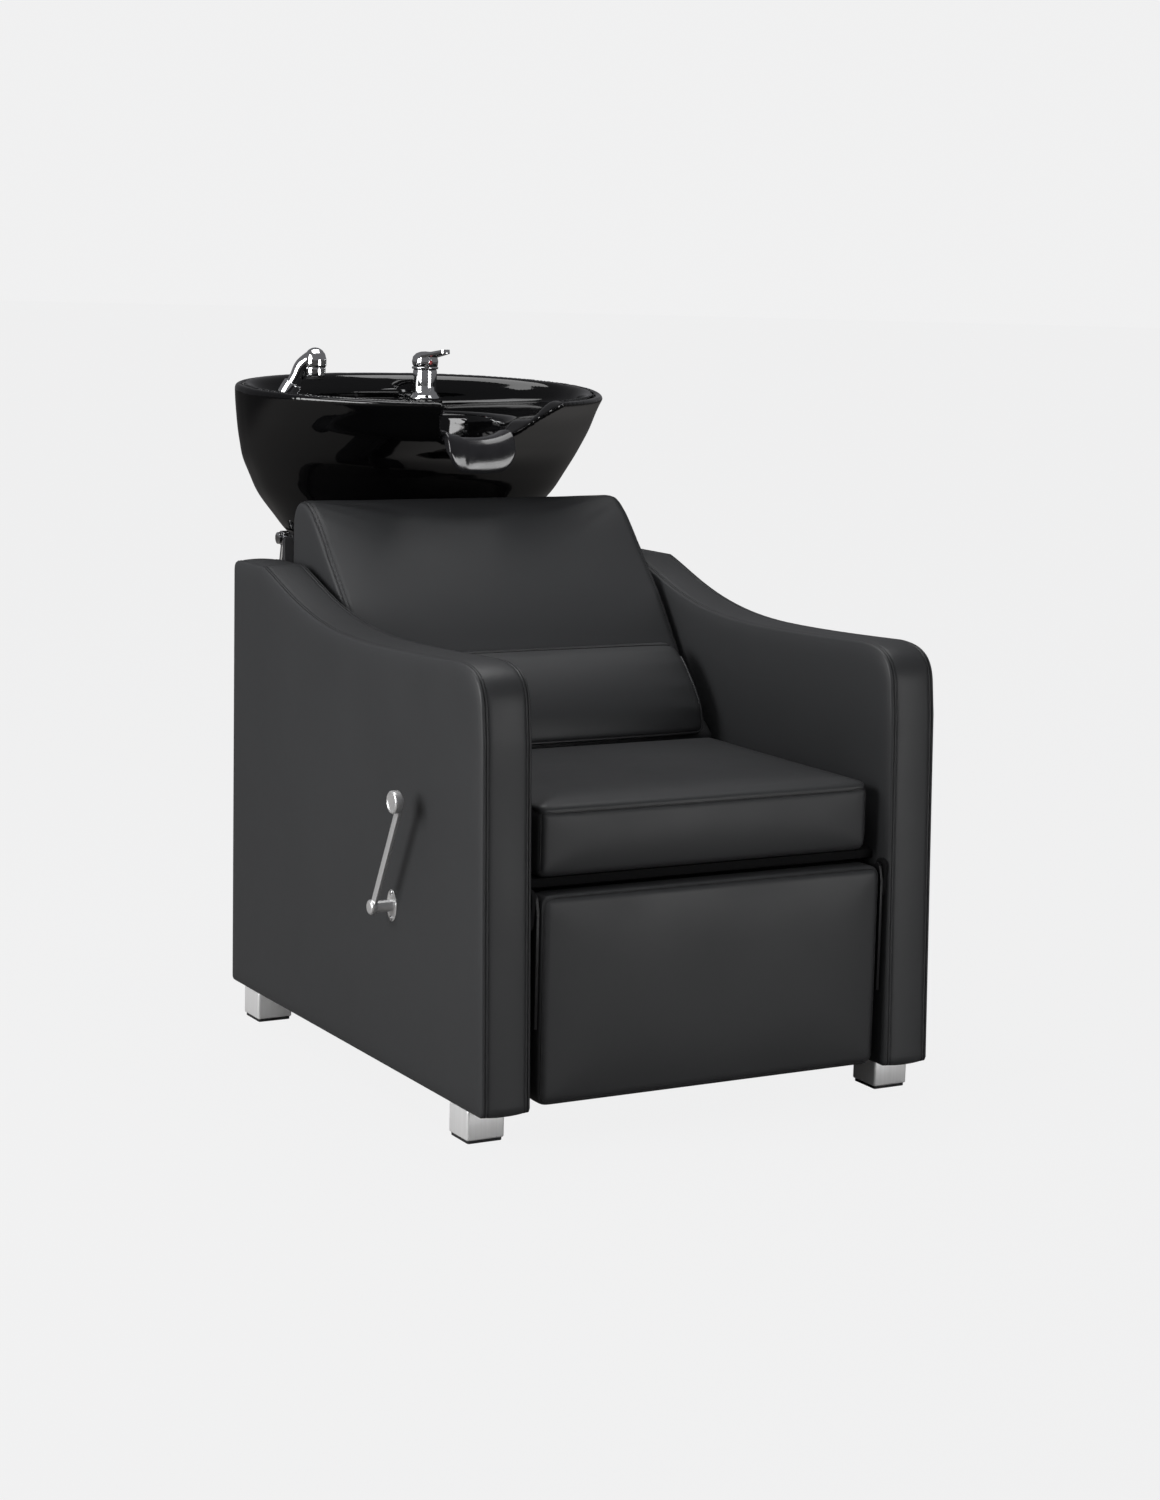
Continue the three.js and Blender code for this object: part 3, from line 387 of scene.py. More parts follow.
def gel_material():
    """Soft clear-dark silicone with faint trapped haze."""
    m = Shader("gel", IOR=1.43, Coat_Weight=0.35, Coat_Roughness=0.08)
    haze = m.noise(48.0, 4.0)
    m.colour(m.mix(haze, (0.008, 0.008, 0.009), (0.018, 0.018, 0.02)))
    m.roughness(m.span(haze, 0.14, 0.26, 0.3, 0.7))
    m.bump(m.noise(34.0, 2.0), 1.0, 0.28)
    return m.material


def rubber_material():
    m = Shader("rubber", Specular_IOR_Level=0.35)
    mottle = m.noise(300.0, 4.0)
    m.colour(m.mix(mottle, (0.008, 0.008, 0.009), (0.018, 0.018, 0.019)))
    m.roughness(m.span(mottle, 0.6, 0.78))
    m.bump(mottle, 0.08, 0.6)
    return m.material


def plastic_material(name, dark, light, rough=(0.38, 0.52)):
    """Moulded plastic with a spark-eroded grain."""
    m = Shader(name, Specular_IOR_Level=0.45)
    cloud = m.noise(22.0, 3.0)
    m.colour(m.mix(cloud, dark, light))
    grain = m.cells(1300.0)
    m.roughness(m.span(cloud, rough[0], rough[1], 0.3, 0.7))
    m.bump(grain, 0.05, 0.45)
    return m.material


FLOOR_GLOW = 0.98  # share of the floor's look that is even light, so that shadows on it stay faint


def floor_material():
    """A pale seamless floor. In reflections and bounced light it is darker, as under studio flags."""
    m = Shader("floor", Specular_IOR_Level=0.1)
    cloud = m.noise(0.7, 3.0)
    seen = m.node("LightPath").outputs["Is Camera Ray"]
    pale = m.mix(cloud, (0.85, 0.85, 0.853), (0.88, 0.88, 0.883))
    m.colour(m.mix(seen, (0.16, 0.155, 0.15), pale))
    m.roughness(m.span(cloud, 0.72, 0.85))
    glow = m.node("Emission", Strength=1.0)
    glow.inputs["Color"].default_value = (BACKDROP_GREY, BACKDROP_GREY, BACKDROP_GREY * BACKDROP_BLUE, 1)
    share = m.node("Math", Value=seen)
    share.operation = "MULTIPLY"
    share.inputs[1].default_value = FLOOR_GLOW
    blend = m.node("MixShader", Fac=share.outputs[0])
    m.tree.links.new(m.bsdf.outputs[0], blend.inputs[1])
    m.tree.links.new(glow.outputs[0], blend.inputs[2])
    m.tree.links.new(blend.outputs[0], m.tree.nodes["Material Output"].inputs["Surface"])
    return m.material


def lining_material():
    """Black non-woven cloth over the hidden boards."""
    m = Shader("lining", Specular_IOR_Level=0.15)
    weave = m.cells(900.0)
    m.colour(m.mix(weave, (0.003, 0.003, 0.0033), (0.008, 0.008, 0.0085)))
    m.roughness(m.span(weave, 0.8, 0.95, 0.0, 0.6))
    m.bump(weave, 0.15, 0.6)
    return m.material


LEATHER_DARK = (0.0245, 0.0252, 0.0265)
LEATHER_LIGHT = (0.0275, 0.0283, 0.0298)
# Near-black leather for the seam cords: a painted shadow line along each seam.
SEAM_SHADOW_DARK = (0.004, 0.004, 0.0045)
SEAM_SHADOW_LIGHT = (0.008, 0.008, 0.009)

MATERIALS = {
    "leather": leather_material("leather", LEATHER_DARK, LEATHER_LIGHT),
    "seam_shadow_leather": leather_material("seam_shadow_leather", SEAM_SHADOW_DARK, SEAM_SHADOW_LIGHT, seam=False),
    "piping": leather_material("piping", LEATHER_DARK, LEATHER_LIGHT, (0.3, 0.4), seam=False),
    "lining": lining_material(),
    "thread": thread_material(),
    "plywood": plywood_material(),
    "black_steel": black_steel_material(),
    "chrome": chrome_material(),
    "satin_steel": satin_material("satin_steel", 0.80, (0.26, 0.38), (14.0, 900.0, 900.0), 0.8),
    "foot_metal": satin_material("foot_metal", 0.84, (0.32, 0.44), (300.0, 300.0, 6.0), 0.5),
    "glaze": glaze_material(),
    "biscuit": biscuit_material(),
    "gel": gel_material(),
    "rubber": rubber_material(),
    "black_plastic": plastic_material("black_plastic", (0.012, 0.012, 0.013), (0.02, 0.02, 0.021)),
    "nylon": plastic_material("nylon", (0.55, 0.53, 0.47), (0.66, 0.64, 0.58)),
    "red_mark": plastic_material("red_mark", (0.35, 0.01, 0.01), (0.5, 0.02, 0.02), (0.2, 0.3)),
    "floor": floor_material(),
}


FLOOR_RADIUS = 60.0  # metres, far enough for its edge to lie at the horizon


def make_floor():
    bm = bmesh.new()
    bmesh.ops.create_circle(bm, cap_ends=True, segments=96, radius=FLOOR_RADIUS)
    mesh = bpy.data.meshes.new("floor")
    bm.to_mesh(mesh)
    bm.free()
    floor = bpy.data.objects.new("floor", mesh)
    floor.data.materials.append(MATERIALS["floor"])
    bpy.context.scene.collection.objects.link(floor)


# ------------------------------------------------------------------ making and placing pieces


def put(name, points, faces, material, body, replaces=(), smooth=True):
    """A piece from points in the chair's frame. It rides on a body and may stand for CAD nodes."""
    mesh = bpy.data.meshes.new(name)
    origin = np.array(ORIGIN)
    mesh.from_pydata((np.asarray(points, float) * MM + origin).tolist(), [], faces)
    mesh.validate()
    if smooth:
        mesh.shade_smooth()
    return adopt(name, mesh, material, body, replaces)


def adopt(name, mesh, material, body, replaces=()):
    """Makes a mesh that is already in the row frame into a piece."""
    piece = bpy.data.objects.new(name, mesh)
    bpy.context.scene.collection.objects.link(piece)
    mesh.materials.clear()
    mesh.materials.append(MATERIALS[material])
    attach(piece, body)
    if replaces:
        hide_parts(*replaces)
    return piece


def used_materials(piece):
    return {material.name for material in piece.data.materials if material}


@contextmanager
def edited(mesh):
    """Opens a mesh for bmesh's tools and then writes it back."""
    bm = bmesh.new()
    bm.from_mesh(mesh)
    yield bm
    bm.to_mesh(mesh)
    bm.free()


def set_smooth_by_angle(mesh, degrees):
    """Smooth shading, with edges sharper than the angle left sharp."""
    limit = math.radians(degrees)
    with edited(mesh) as bm:
        for face in bm.faces:
            face.smooth = True
        for edge in bm.edges:
            edge.smooth = not (edge.is_manifold and edge.calc_face_angle(0.0) > limit)


def refine(node, material, bevel=0.8, segments=2, angle=32.0):
    """A CAD node with its hard edges rounded over, on the same body."""
    bm = bmesh.new()
    bm.from_mesh(frame["nodes"][node].data)
    bmesh.ops.remove_doubles(bm, verts=bm.verts, dist=1e-6)
    flat = math.radians(0.5)
    bmesh.ops.dissolve_limit(bm, angle_limit=flat, verts=bm.verts, edges=bm.edges)
    limit = math.radians(angle)
    sharp = [e for e in bm.edges if e.is_manifold and e.calc_face_angle(0.0) > limit]
    bmesh.ops.bevel(
        bm, geom=sharp, offset=bevel * MM, segments=segments, profile=0.5, affect="EDGES", clamp_overlap=True
    )
    bmesh.ops.recalc_face_normals(bm, faces=bm.faces)
    mesh = bpy.data.meshes.new(node + "_finished")
    bm.to_mesh(mesh)
    bm.free()
    set_smooth_by_angle(mesh, angle)
    return adopt(node + "_finished", mesh, material, BODY_OF[node], [node])


# node: its material, how far its edges are rounded over and, where it isn't the material's own, its slot
SINGLE_NODES = {
    "front_rail": ("lining", 1.5, "leather"),
    "rear_rail": ("plywood", 1.5),
    "seat_deck": ("lining", 2.0, "leather"),
    "back_panel": ("black_plastic", 2.0),
    "footrest_board": ("lining", 1.5, "leather"),
    "stand_base_plate": ("black_steel", 1.5),
    "stand_column": ("black_steel", 0.6),
    "stand_column_cap": ("black_plastic", 1.2),
    "yoke_crossbar": ("black_steel", 2.0),
    "tie_beam": ("black_steel", 2.0),
    "tilt_strap": ("black_steel", 0.7),
    "drive_shaft": ("satin_steel", 0.8),
    "inlet_tail_hot": ("satin_steel", 0.6),
    "inlet_tail_cold": ("satin_steel", 0.6),
}
# the same for nodes that come in pairs, without "_left" or "_right"
PAIRED_NODES = {
    "footrest_bracket": ("black_steel", 0.5),
    "footrest_hinge_plate": ("lining", 0.6, "black_steel"),
    "crank": ("black_steel", 0.5),
    "link": ("satin_steel", 0.5),
    "shaft_bearing": ("nylon", 0.6),
    "pivot_bolt": ("chrome", 1.2),
    "yoke_stay": ("chrome", 0.8),
    "foot_pad_front": ("rubber", 0.8),
    "foot_pad_rear": ("rubber", 0.8),
}


def refine_all():
    nodes = dict(SINGLE_NODES)
    for side in ("left", "right"):
        for name, finish in PAIRED_NODES.items():
            nodes[f"{name}_{side}"] = finish
    for node, (material, bevel, *slot) in nodes.items():
        refine(node, material, bevel)


# ------------------------------------------------------------------ rings, curves and outlines


def skin(rows, count, closed=False):
    """Quads between rings of count points each. Closed joins the last ring to the first."""
    faces = []
    for row in range(rows if closed else rows - 1):
        a = row * count
        b = (row + 1) % rows * count
        for i in range(count):
            j = (i + 1) % count
            faces.append((a + i, a + j, b + j, b + i))
    return faces


def caps(rows, count):
    """The two faces that close a skin at its first and last ring."""
    return [tuple(reversed(range(count))), tuple(range((rows - 1) * count, rows * count))]


def rings_along(line, ahead, radii, sides, start):
    """Circles of points across a line, turned as little as possible from one to the next."""
    side = np.cross(ahead[0], start)
    turn = np.linspace(0, 2 * np.pi, sides, endpoint=False)[:, None]
    rings = []
    for place, along, radius in zip(line, ahead, radii):
        side = side - (side @ along) * along
        side /= np.linalg.norm(side)
        other = np.cross(along, side)
        rings.append(place + radius * (np.cos(turn) * side + np.sin(turn) * other))
    return np.concatenate(rings)


def directions(points, closed):
    """Where a line of points is heading at each of them. Not of unit length."""
    ahead = np.roll(points, -1, 0) - np.roll(points, 1, 0)
    if not closed:
        ahead[0] = points[1] - points[0]
        ahead[-1] = points[-1] - points[-2]
    return ahead


def hermite(t, width, start, end, start_slope, end_slope):
    """The cubic piece between two values with given slopes, at shares t of its width."""
    return (
        (2 * t**3 - 3 * t**2 + 1) * start
        + (t**3 - 2 * t**2 + t) * width * start_slope
        + (3 * t**2 - 2 * t**3) * end
        + (t**3 - t**2) * width * end_slope
    )


def bezier(p0, p1, p2, p3, count=40):
    t = np.linspace(0, 1, count)[:, None]
    a, b, c, d = (np.array(p, float) for p in (p0, p1, p2, p3))
    return (1 - t) ** 3 * a + 3 * (1 - t) ** 2 * t * b + 3 * (1 - t) * t**2 * c + t**3 * d


def arc(centre, radius, start, end, count=12):
    """Points on a circle between two angles in degrees."""
    turn = np.radians(np.linspace(start, end, count))
    return np.array(centre) + radius * np.stack([np.cos(turn), np.sin(turn)], 1)


def resample(points, step, closed=False):
    """Points about a step apart along a line through the given ones."""
    points = np.asarray(points, float)
    if closed:
        points = np.vstack([points, points[:1]])
    lengths = np.linalg.norm(np.diff(points, axis=0), axis=1)
    keep = np.concatenate([[True], lengths > 1e-6])
    points = points[keep]
    run = np.concatenate([[0], np.cumsum(np.linalg.norm(np.diff(points, axis=0), axis=1))])
    count = max(2, round(run[-1] / step) + 1)
    want = np.linspace(0, run[-1], count)
    made = np.stack([np.interp(want, run, points[:, i]) for i in range(points.shape[1])], 1)
    return made[:-1] if closed else made


def loop_normals(points):
    """Outward normals of a closed anticlockwise outline in the plane."""
    ahead = np.roll(points, -1, 0) - np.roll(points, 1, 0)
    ahead /= np.linalg.norm(ahead, axis=1)[:, None]
    return np.stack([ahead[:, 1], -ahead[:, 0]], 1)


def distance_to_loop(points, loop):
    """Distance of each point to a closed outline of many short sides."""
    nearest = np.full(len(points), 1e9)
    for start, end in zip(loop, np.roll(loop, -1, 0)):
        side = end - start
        t = np.clip(((points - start) @ side) / max(side @ side, 1e-9), 0, 1)
        away = points - (start + t[:, None] * side)
        nearest = np.minimum(nearest, np.hypot(away[:, 0], away[:, 1]))
    return nearest


def inside_loop(points, loop):
    """Which points lie inside a closed outline: those with an odd number of its sides to one side."""
    x, y = points[:, 0], points[:, 1]
    inside = np.zeros(len(points), bool)
    for (x0, y0), (x1, y1) in zip(loop, np.roll(loop, -1, 0)):
        crosses = (y0 > y) != (y1 > y)
        with np.errstate(divide="ignore", invalid="ignore"):
            edge_x = (x1 - x0) * (y - y0) / (y1 - y0) + x0
        inside ^= crosses & (x < edge_x)
    return inside


# ------------------------------------------------------------------ seams, stitches and piping


def surface_of(piece):
    """A search tree of a piece's surface."""
    mesh = piece.data
    points = [v.co.copy() for v in mesh.vertices]
    return BVHTree.FromPolygons(points, [p.vertices[:] for p in mesh.polygons])


def laid_on(piece, route, lift_mm):
    """A route in the chair's frame moved on to a piece's surface. Gives the points and the normals there."""
    tree = surface_of(piece)
    found = [tree.find_nearest(at(*p)) for p in route]
    normals = np.array([hit[1] for hit in found])
    points = np.array([hit[0] for hit in found]) + normals * lift_mm * MM
    return points, normals


def smoothed(points, rounds, closed):
    """Draws each point half-way towards the middle of its neighbours, some rounds over."""
    points = points.copy()
    for _ in range(rounds):
        middle = (np.roll(points, 1, 0) + np.roll(points, -1, 0)) / 2
        if not closed:
            middle[0], middle[-1] = points[0], points[-1]
        points = (points + middle) / 2
    return points


def tube_mesh(name, points, radius_mm, closed, sides=8):
    """A round tube through points in the row frame."""
    count = len(points)
    ahead = directions(points, closed)
    ahead /= np.linalg.norm(ahead, axis=1)[:, None]
    rings = rings_along(points, ahead, [radius_mm * MM] * count, sides, (0.31, 0.52, 0.79))
    faces = skin(count, sides, closed)
    if not closed:
        faces += caps(count, sides)
    mesh = bpy.data.meshes.new(name)
    mesh.from_pydata(rings.tolist(), [], faces)
    mesh.shade_smooth()
    return mesh


def lay_cord(name, piece, route, radius, lift, material="seam_shadow_leather", closed=False, body="chassis"):
    """A thin cord along a seam or a welt, half sunk into the cover. By default it is near-black leather, a
    painted shadow line in the seam.
    """
    points, _ = laid_on(piece, resample(route, 4.0, closed), lift)
    points = smoothed(points, 2, closed)
    return adopt(name, tube_mesh(name, points, radius, closed), material, body)


# The profile gives (place along the stitch, share of its radius).
STITCH = {
    "pitch": 4.2,
    "length": 3.1,
    "radius": 0.42,
    "sides": 5,
    "profile": ((-0.5, 0.25), (-0.38, 0.85), (0.0, 1.0), (0.38, 0.85), (0.5, 0.25)),
}


def lay_stitches(name, piece, routes, body="chassis"):
    """Rows of short thread stitches, each a little loaf that stands out of the cover."""
    points, faces = [], []
    profile = STITCH["profile"]
    sides = STITCH["sides"]
    for route, closed in routes:
        places, normals = laid_on(piece, resample(route, STITCH["pitch"], closed), 0.1)
        for place, normal, along in zip(places, normals, directions(places, closed)):
            along = along / np.linalg.norm(along)
            side = np.cross(normal, along)
            first = len(points)
            for t, width in profile:
                middle = place + along * t * STITCH["length"] * MM
                reach = STITCH["radius"] * MM * width
                for turn in range(sides):
                    angle = turn * 2 * math.pi / sides
                    points.append(middle + reach * (math.cos(angle) * side + math.sin(angle) * normal))
            loaf = skin(len(profile), sides) + caps(len(profile), sides)
            faces += [tuple(first + i for i in face) for face in loaf]
    mesh = bpy.data.meshes.new(name)
    mesh.from_pydata([tuple(p) for p in points], [], faces)
    mesh.shade_smooth()
    return adopt(name, mesh, "thread", body)


def vertex_vectors(mesh, kind):
    """Every vertex's place ("co") or normal, one row each."""
    vectors = np.zeros(len(mesh.vertices) * 3)
    mesh.vertices.foreach_get(kind, vectors)
    return vectors.reshape(-1, 3)


def press_seams(piece, routes, depth, width):
    """Pulls the cover in along seams, and marks it for the painted crease shade that the leather material
    darkens there.
    """
    mesh = piece.data
    places = vertex_vectors(mesh, "co")
    normals = vertex_vectors(mesh, "normal")
    nearest = np.full(len(places), 1.0)
    for route in routes:
        on_piece, _ = laid_on(piece, resample(route, 2.5), 0.0)
        low = on_piece.min(0) - 4 * width * MM
        high = on_piece.max(0) + 4 * width * MM
        near = np.where(((places > low) & (places < high)).all(1))[0]
        for part in np.array_split(near, max(1, len(near) // 4000)):
            gaps = np.linalg.norm(places[part][:, None, :] - on_piece[None], axis=2).min(1)
            nearest[part] = np.minimum(nearest[part], gaps)
    pull = np.exp(-((nearest / (width * MM)) ** 2))
    mesh.vertices.foreach_set("co", (places - normals * (pull * depth * MM)[:, None]).ravel())
    # painted shade: the seam attribute darkens the leather along the crease
    mark = mesh.attributes.get("seam") or mesh.attributes.new("seam", "FLOAT", "POINT")
    mark.data.foreach_set("value", (0.6 * np.exp(-((nearest / (1.5 * MM)) ** 2))).astype(np.float32))
    mesh.update()


# ------------------------------------------------------------------ arms

ARM_LOW, ARM_HIGH = chair_box("arm_right")
ARM = {
    "outer": ARM_HIGH.x,
    "middle": (ARM_HIGH.x + ARM_LOW.x) / 2,
    "half": (ARM_HIGH.x - ARM_LOW.x) / 2,
    "depth": ARM_HIGH.y,
    "bottom": ARM_LOW.z,
    "rear_top": ARM_HIGH.z,
}
ARM_SEAT_TOP = 602.0  # lowest height of the armrest
ARM_FRONT_TOP = 611.0
BAND_STRIP = 8.0  # from the edge of a band of cover to its row of stitches
BAND_SEAM = 5.0  # from an arm's side to the seam at the edge of its band


def arm_outline():
    """Anticlockwise outline of an arm in (y, z), with the corners at the floor rounded a little."""
    depth, bottom, rear = ARM["depth"], ARM["bottom"], ARM["rear_top"]
    seat, front = ARM_SEAT_TOP, ARM_FRONT_TOP
    foot_round, rear_round = 7.0, 12
    runs = [
        arc((foot_round + 0.4, bottom + foot_round), foot_round, 180, 270, 8),
        arc((depth - foot_round, bottom + foot_round), foot_round, 270, 360, 8),
        arc((depth - rear_round, rear - rear_round), rear_round, 0, 90, 10),
        bezier((712, rear), (640, rear - 20), (560, seat), (372, seat), 70),
        bezier((372, seat), (280, seat), (180, front - 4), (97, front), 50),
        bezier((97, front), (50, front), (26, 600), (21, 565), 30),
        bezier((21, 565), (19.3, 550), (17.4, 532), (16, 520), 8),
    ]
    return resample(np.vstack(runs), 6.0, closed=True)


def band_profile():
    """Across an arm, edge to edge: (distance from its middle plane, how far in from the outline)."""
    corner = 4.0
    edge = ARM["half"] - corner
    strip = ARM["half"] - BAND_STRIP - 1.0
    seam = ((0.2, 0.0), (-0.5, 0.5), (-1.0, 1.1), (-1.5, 0.55), (-2.2, -0.1))
    stitch_row = ((1.6, -0.35), (0.7, 0.1), (0, 0.55), (-0.8, 0.05), (-2.4, -0.5))
    crown = strip - 2.4
    turns = (1.57, 1.2, 0.85, 0.5, 0.2)
    profile = [(edge + corner * math.sin(a), corner - corner * math.cos(a)) for a in turns]
    profile += [(edge + x, inset) for x, inset in seam]
    profile += [(strip + x, inset) for x, inset in stitch_row]
    profile += [(x * crown, -0.5 - 1.5 * (1 - x * x)) for x in (0.84, 0.64, 0.42, 0.2, 0.0)]
    return profile + [(-x, inset) for x, inset in reversed(profile[:-1])]


SIDE_GRID = 9.0  # grid on an arm's flat side
SIDE_MARGIN = 5.0  # free of grid points along its edge
SIDE_RINGS = (1.6, 3.4)  # outlines inside that margin instead


def side_puff(distance):
    """How far an arm's side stands out from its flat board, by the distance from its edge."""
    return 1.0 - 2.4 * np.exp(-distance / 7.0) - 1.0 * np.exp(-distance / 60.0)


def side_face(loop, side_sign, middle):
    """The padded flat side of an arm: a fine grid of points inside the loop, puffed out a little."""
    columns, rows = (np.arange(low, high, SIDE_GRID) for low, high in zip(loop.min(0), loop.max(0)))
    grid = np.stack(np.meshgrid(columns, rows), -1).reshape(-1, 2)
    grid = grid[inside_loop(grid, loop)]
    grid = grid[distance_to_loop(grid, loop) > SIDE_MARGIN]
    rings = [loop - loop_normals(loop) * inset for inset in SIDE_RINGS]
    flat = np.vstack([loop, *rings, grid])
    sides = [(i, (i + 1) % len(loop)) for i in range(len(loop))]
    made = delaunay_2d_cdt([Vector(p) for p in flat], sides, [], 1, 1e-5)
    places = np.array([tuple(p) for p in made[0]])
    faces = [tuple(f) for f in made[2]]
    away = distance_to_loop(places, loop)
    rest = side_puff(np.zeros(1))[0]
    puffed = ARM["half"] + np.where(away < 0.01, 0.0, side_puff(away) - rest)
    return places, faces, middle + side_sign * puffed


PUCKER_PLACE = 28.5  # from an arm's middle plane to where the band puckers most


def make_arm(side):
    """side is -1 for the left arm and 1 for the right one."""
    name = "arm_left" if side < 0 else "arm_right"
    outline = arm_outline()
    normals = loop_normals(outline)
    middle = side * ARM["middle"]
    profile = band_profile()
    count = len(outline)
    run = np.arange(count)
    pucker = 0.10 * np.sin(run * 1.9) + 0.06 * np.sin(run * 0.83 + 1.0)
    points = []
    for x, inset in profile:
        near_edge = math.exp(-(((abs(x) - PUCKER_PLACE) / 3.5) ** 2))
        depth = inset + pucker * near_edge
        ring = outline - normals * depth[:, None]
        points.append(rim_route(ring, middle + x))
    faces = skin(len(profile), count)
    points = np.vstack(points)
    for sign, ring_row in ((1, 0), (-1, len(profile) - 1)):
        loop = points[ring_row * count : (ring_row + 1) * count, 1:]
        places, triangles, x = side_face(loop, sign, middle)
        first = len(points)
        points = np.vstack([points, np.column_stack([x, places])])
        faces += [tuple(first + i for i in t) for t in triangles]
    piece = put(name + "_cover", points, faces, "leather", "chassis", [name])
    weld(piece.data)
    paint_band_seam_shade(piece, middle)
    rows = [(rim_route(outline, middle + s * (ARM["half"] - BAND_STRIP - 1.0)), True) for s in (-1, 1)]
    lay_stitches(name + "_stitches", piece, rows)
    for edge, s in (("left", -1), ("right", 1)):
        route = rim_route(outline, middle + s * (ARM["half"] - BAND_SEAM))
        lay_cord(f"{name}_seam_{edge}", piece, route, 0.75, -0.2, closed=True)


def rim_route(outline, x):
    """An outline in (y, z), set at a distance x from the chair's middle plane."""
    return np.column_stack([np.full(len(outline), x), outline])


def weld(mesh):
    """Joins points that coincide, and turns every face outward and smooth."""
    with edited(mesh) as bm:
        bmesh.ops.remove_doubles(bm, verts=bm.verts, dist=WELD_M)
        bmesh.ops.recalc_face_normals(bm, faces=bm.faces)
        for face in bm.faces:
            face.smooth = True


def paint_band_seam_shade(piece, middle):
    """Paints shade into the cover in the seam and the row of stitches near each edge of an arm's band."""
    mesh = piece.data
    half = ARM["half"]
    values = []
    for vertex in mesh.vertices:
        x = abs((vertex.co.x - ORIGIN.x) / MM - middle)
        seam = 0.85 * math.exp(-(((x - (half - BAND_SEAM)) / 0.7) ** 2))
        row = 0.45 * math.exp(-(((x - (half - BAND_STRIP - 1.0)) / 0.7) ** 2))
        values.append(max(seam, row) if x < half - 4.0 else 0.0)
    mesh.attributes.new("seam", "FLOAT", "POINT").data.foreach_set("value", values)


# ------------------------------------------------------------------ cushions: inflated by simulation

PRESSURE = 4.0
SIMULATED_FRAMES = 20


def closed_prism(outline, x0, x1, rounding=8.0, rows=4):
    """A closed body from an outline in (y, z), with its two flat ends rounded over."""
    outline = np.asarray(outline, float)
    normals = loop_normals(outline)
    quarter = np.linspace(0, math.pi / 2, rows + 1)
    ends = [(x0 + rounding * (1 - math.cos(t)), rounding * (1 - math.sin(t))) for t in quarter]
    loops = [(x, inset) for x, inset in ends] + [(x0 + x1 - x, inset) for x, inset in reversed(ends)]
    count = len(outline)
    points = [rim_route(outline - normals * inset, x) for x, inset in loops]
    faces = [(a, d, c, b) for a, b, c, d in skin(len(loops), count)]
    faces += [tuple(reversed(cap)) for cap in caps(len(loops), count)]
    return np.vstack(points), faces


def rounded_box_outline(y0, y1, z0, z1, radii, count=8):
    """Anticlockwise (y, z) rectangle with a radius for each corner, from low front round to high front."""
    a, b, c, d = radii
    return np.vstack([
        arc((y0 + a, z0 + a), a, 180, 270, count),
        arc((y1 - b, z0 + b), b, 270, 360, count),
        arc((y1 - c, z1 - c), c, 0, 90, count),
        arc((y0 + d, z1 - d), d, 90, 180, count),
    ])


def baked(piece):
    """Replaces a piece's mesh by its mesh with modifiers applied."""
    graph = bpy.context.evaluated_depsgraph_get()
    graph.update()
    mesh = bpy.data.meshes.new_from_object(piece.evaluated_get(graph), depsgraph=graph)
    piece.modifiers.clear()
    piece.data = mesh
    return mesh


def inflate(name, points, faces, voxel, cap, held):
    """A padded piece: remeshed, blown up by cloth pressure, and held back where it is nailed or rests.

    held(x, y, z) in the chair's frame is 1 where the cover can't move and 0 where it is free.
    """
    mesh = bpy.data.meshes.new(name)
    mesh.from_pydata((np.asarray(points) * MM + np.array(ORIGIN)).tolist(), [], faces)
    piece = bpy.data.objects.new(name, mesh)
    bpy.context.scene.collection.objects.link(piece)
    remesh = piece.modifiers.new("remesh", "REMESH")
    remesh.mode = "VOXEL"
    remesh.voxel_size = voxel * MM
    mesh = baked(piece)
    start = vertex_vectors(mesh, "co")
    chair = (start - np.array(ORIGIN)) / MM
    hold = np.clip(held(chair[:, 0], chair[:, 1], chair[:, 2]), 0, 1)
    move = blown(piece, hold) - start
    length = np.linalg.norm(move, axis=1)
    share = cap * MM * np.tanh(length / (cap * MM)) / np.maximum(length, 1e-9)
    moved = start + move * (share * (1 - hold))[:, None]
    mesh.vertices.foreach_set("co", moved.ravel())
    mesh.update()
    smooth = piece.modifiers.new("smooth", "SMOOTH")
    smooth.factor = 0.5
    smooth.iterations = 3
    piece.modifiers.new("finer", "SUBSURF").levels = 1
    mesh = baked(piece)
    mesh.shade_smooth()
    bpy.data.objects.remove(piece)
    return mesh


def blown(piece, hold):
    """Where the cloth simulation takes each vertex."""
    group = piece.vertex_groups.new(name="held")
    for index in np.where(hold > 0.02)[0]:
        group.add([int(index)], float(hold[index]), "REPLACE")
    cloth = piece.modifiers.new("cloth", "CLOTH")
    settings = cloth.settings
    settings.quality = 5
    settings.mass = 0.3
    settings.tension_stiffness = 18
    settings.compression_stiffness = 18
    settings.shear_stiffness = 8
    settings.bending_stiffness = 1.5
    settings.use_pressure = True
    settings.uniform_pressure_force = PRESSURE
    settings.effector_weights.gravity = 0.0
    settings.vertex_group_mass = "held"
    cloth.collision_settings.use_collision = False
    cloth.point_cache.frame_start = 1
    cloth.point_cache.frame_end = SIMULATED_FRAMES
    scene = bpy.context.scene
    for number in range(1, SIMULATED_FRAMES + 1):
        scene.frame_set(number)
    graph = bpy.context.evaluated_depsgraph_get()
    evaluated = piece.evaluated_get(graph)
    places = vertex_vectors(evaluated.data, "co")
    piece.modifiers.remove(cloth)
    scene.frame_set(1)
    return places


def ramp(value, low, high):
    """0 below low, 1 above high, and a smooth step between."""
    t = np.clip((value - low) / (high - low), 0, 1)
    return t * t * (3 - 2 * t)


def near(value, centre, width):
    """1 at the centre, falling off as a bell about as wide as the width to each side."""
    return np.exp(-(((value - centre) / width) ** 2))


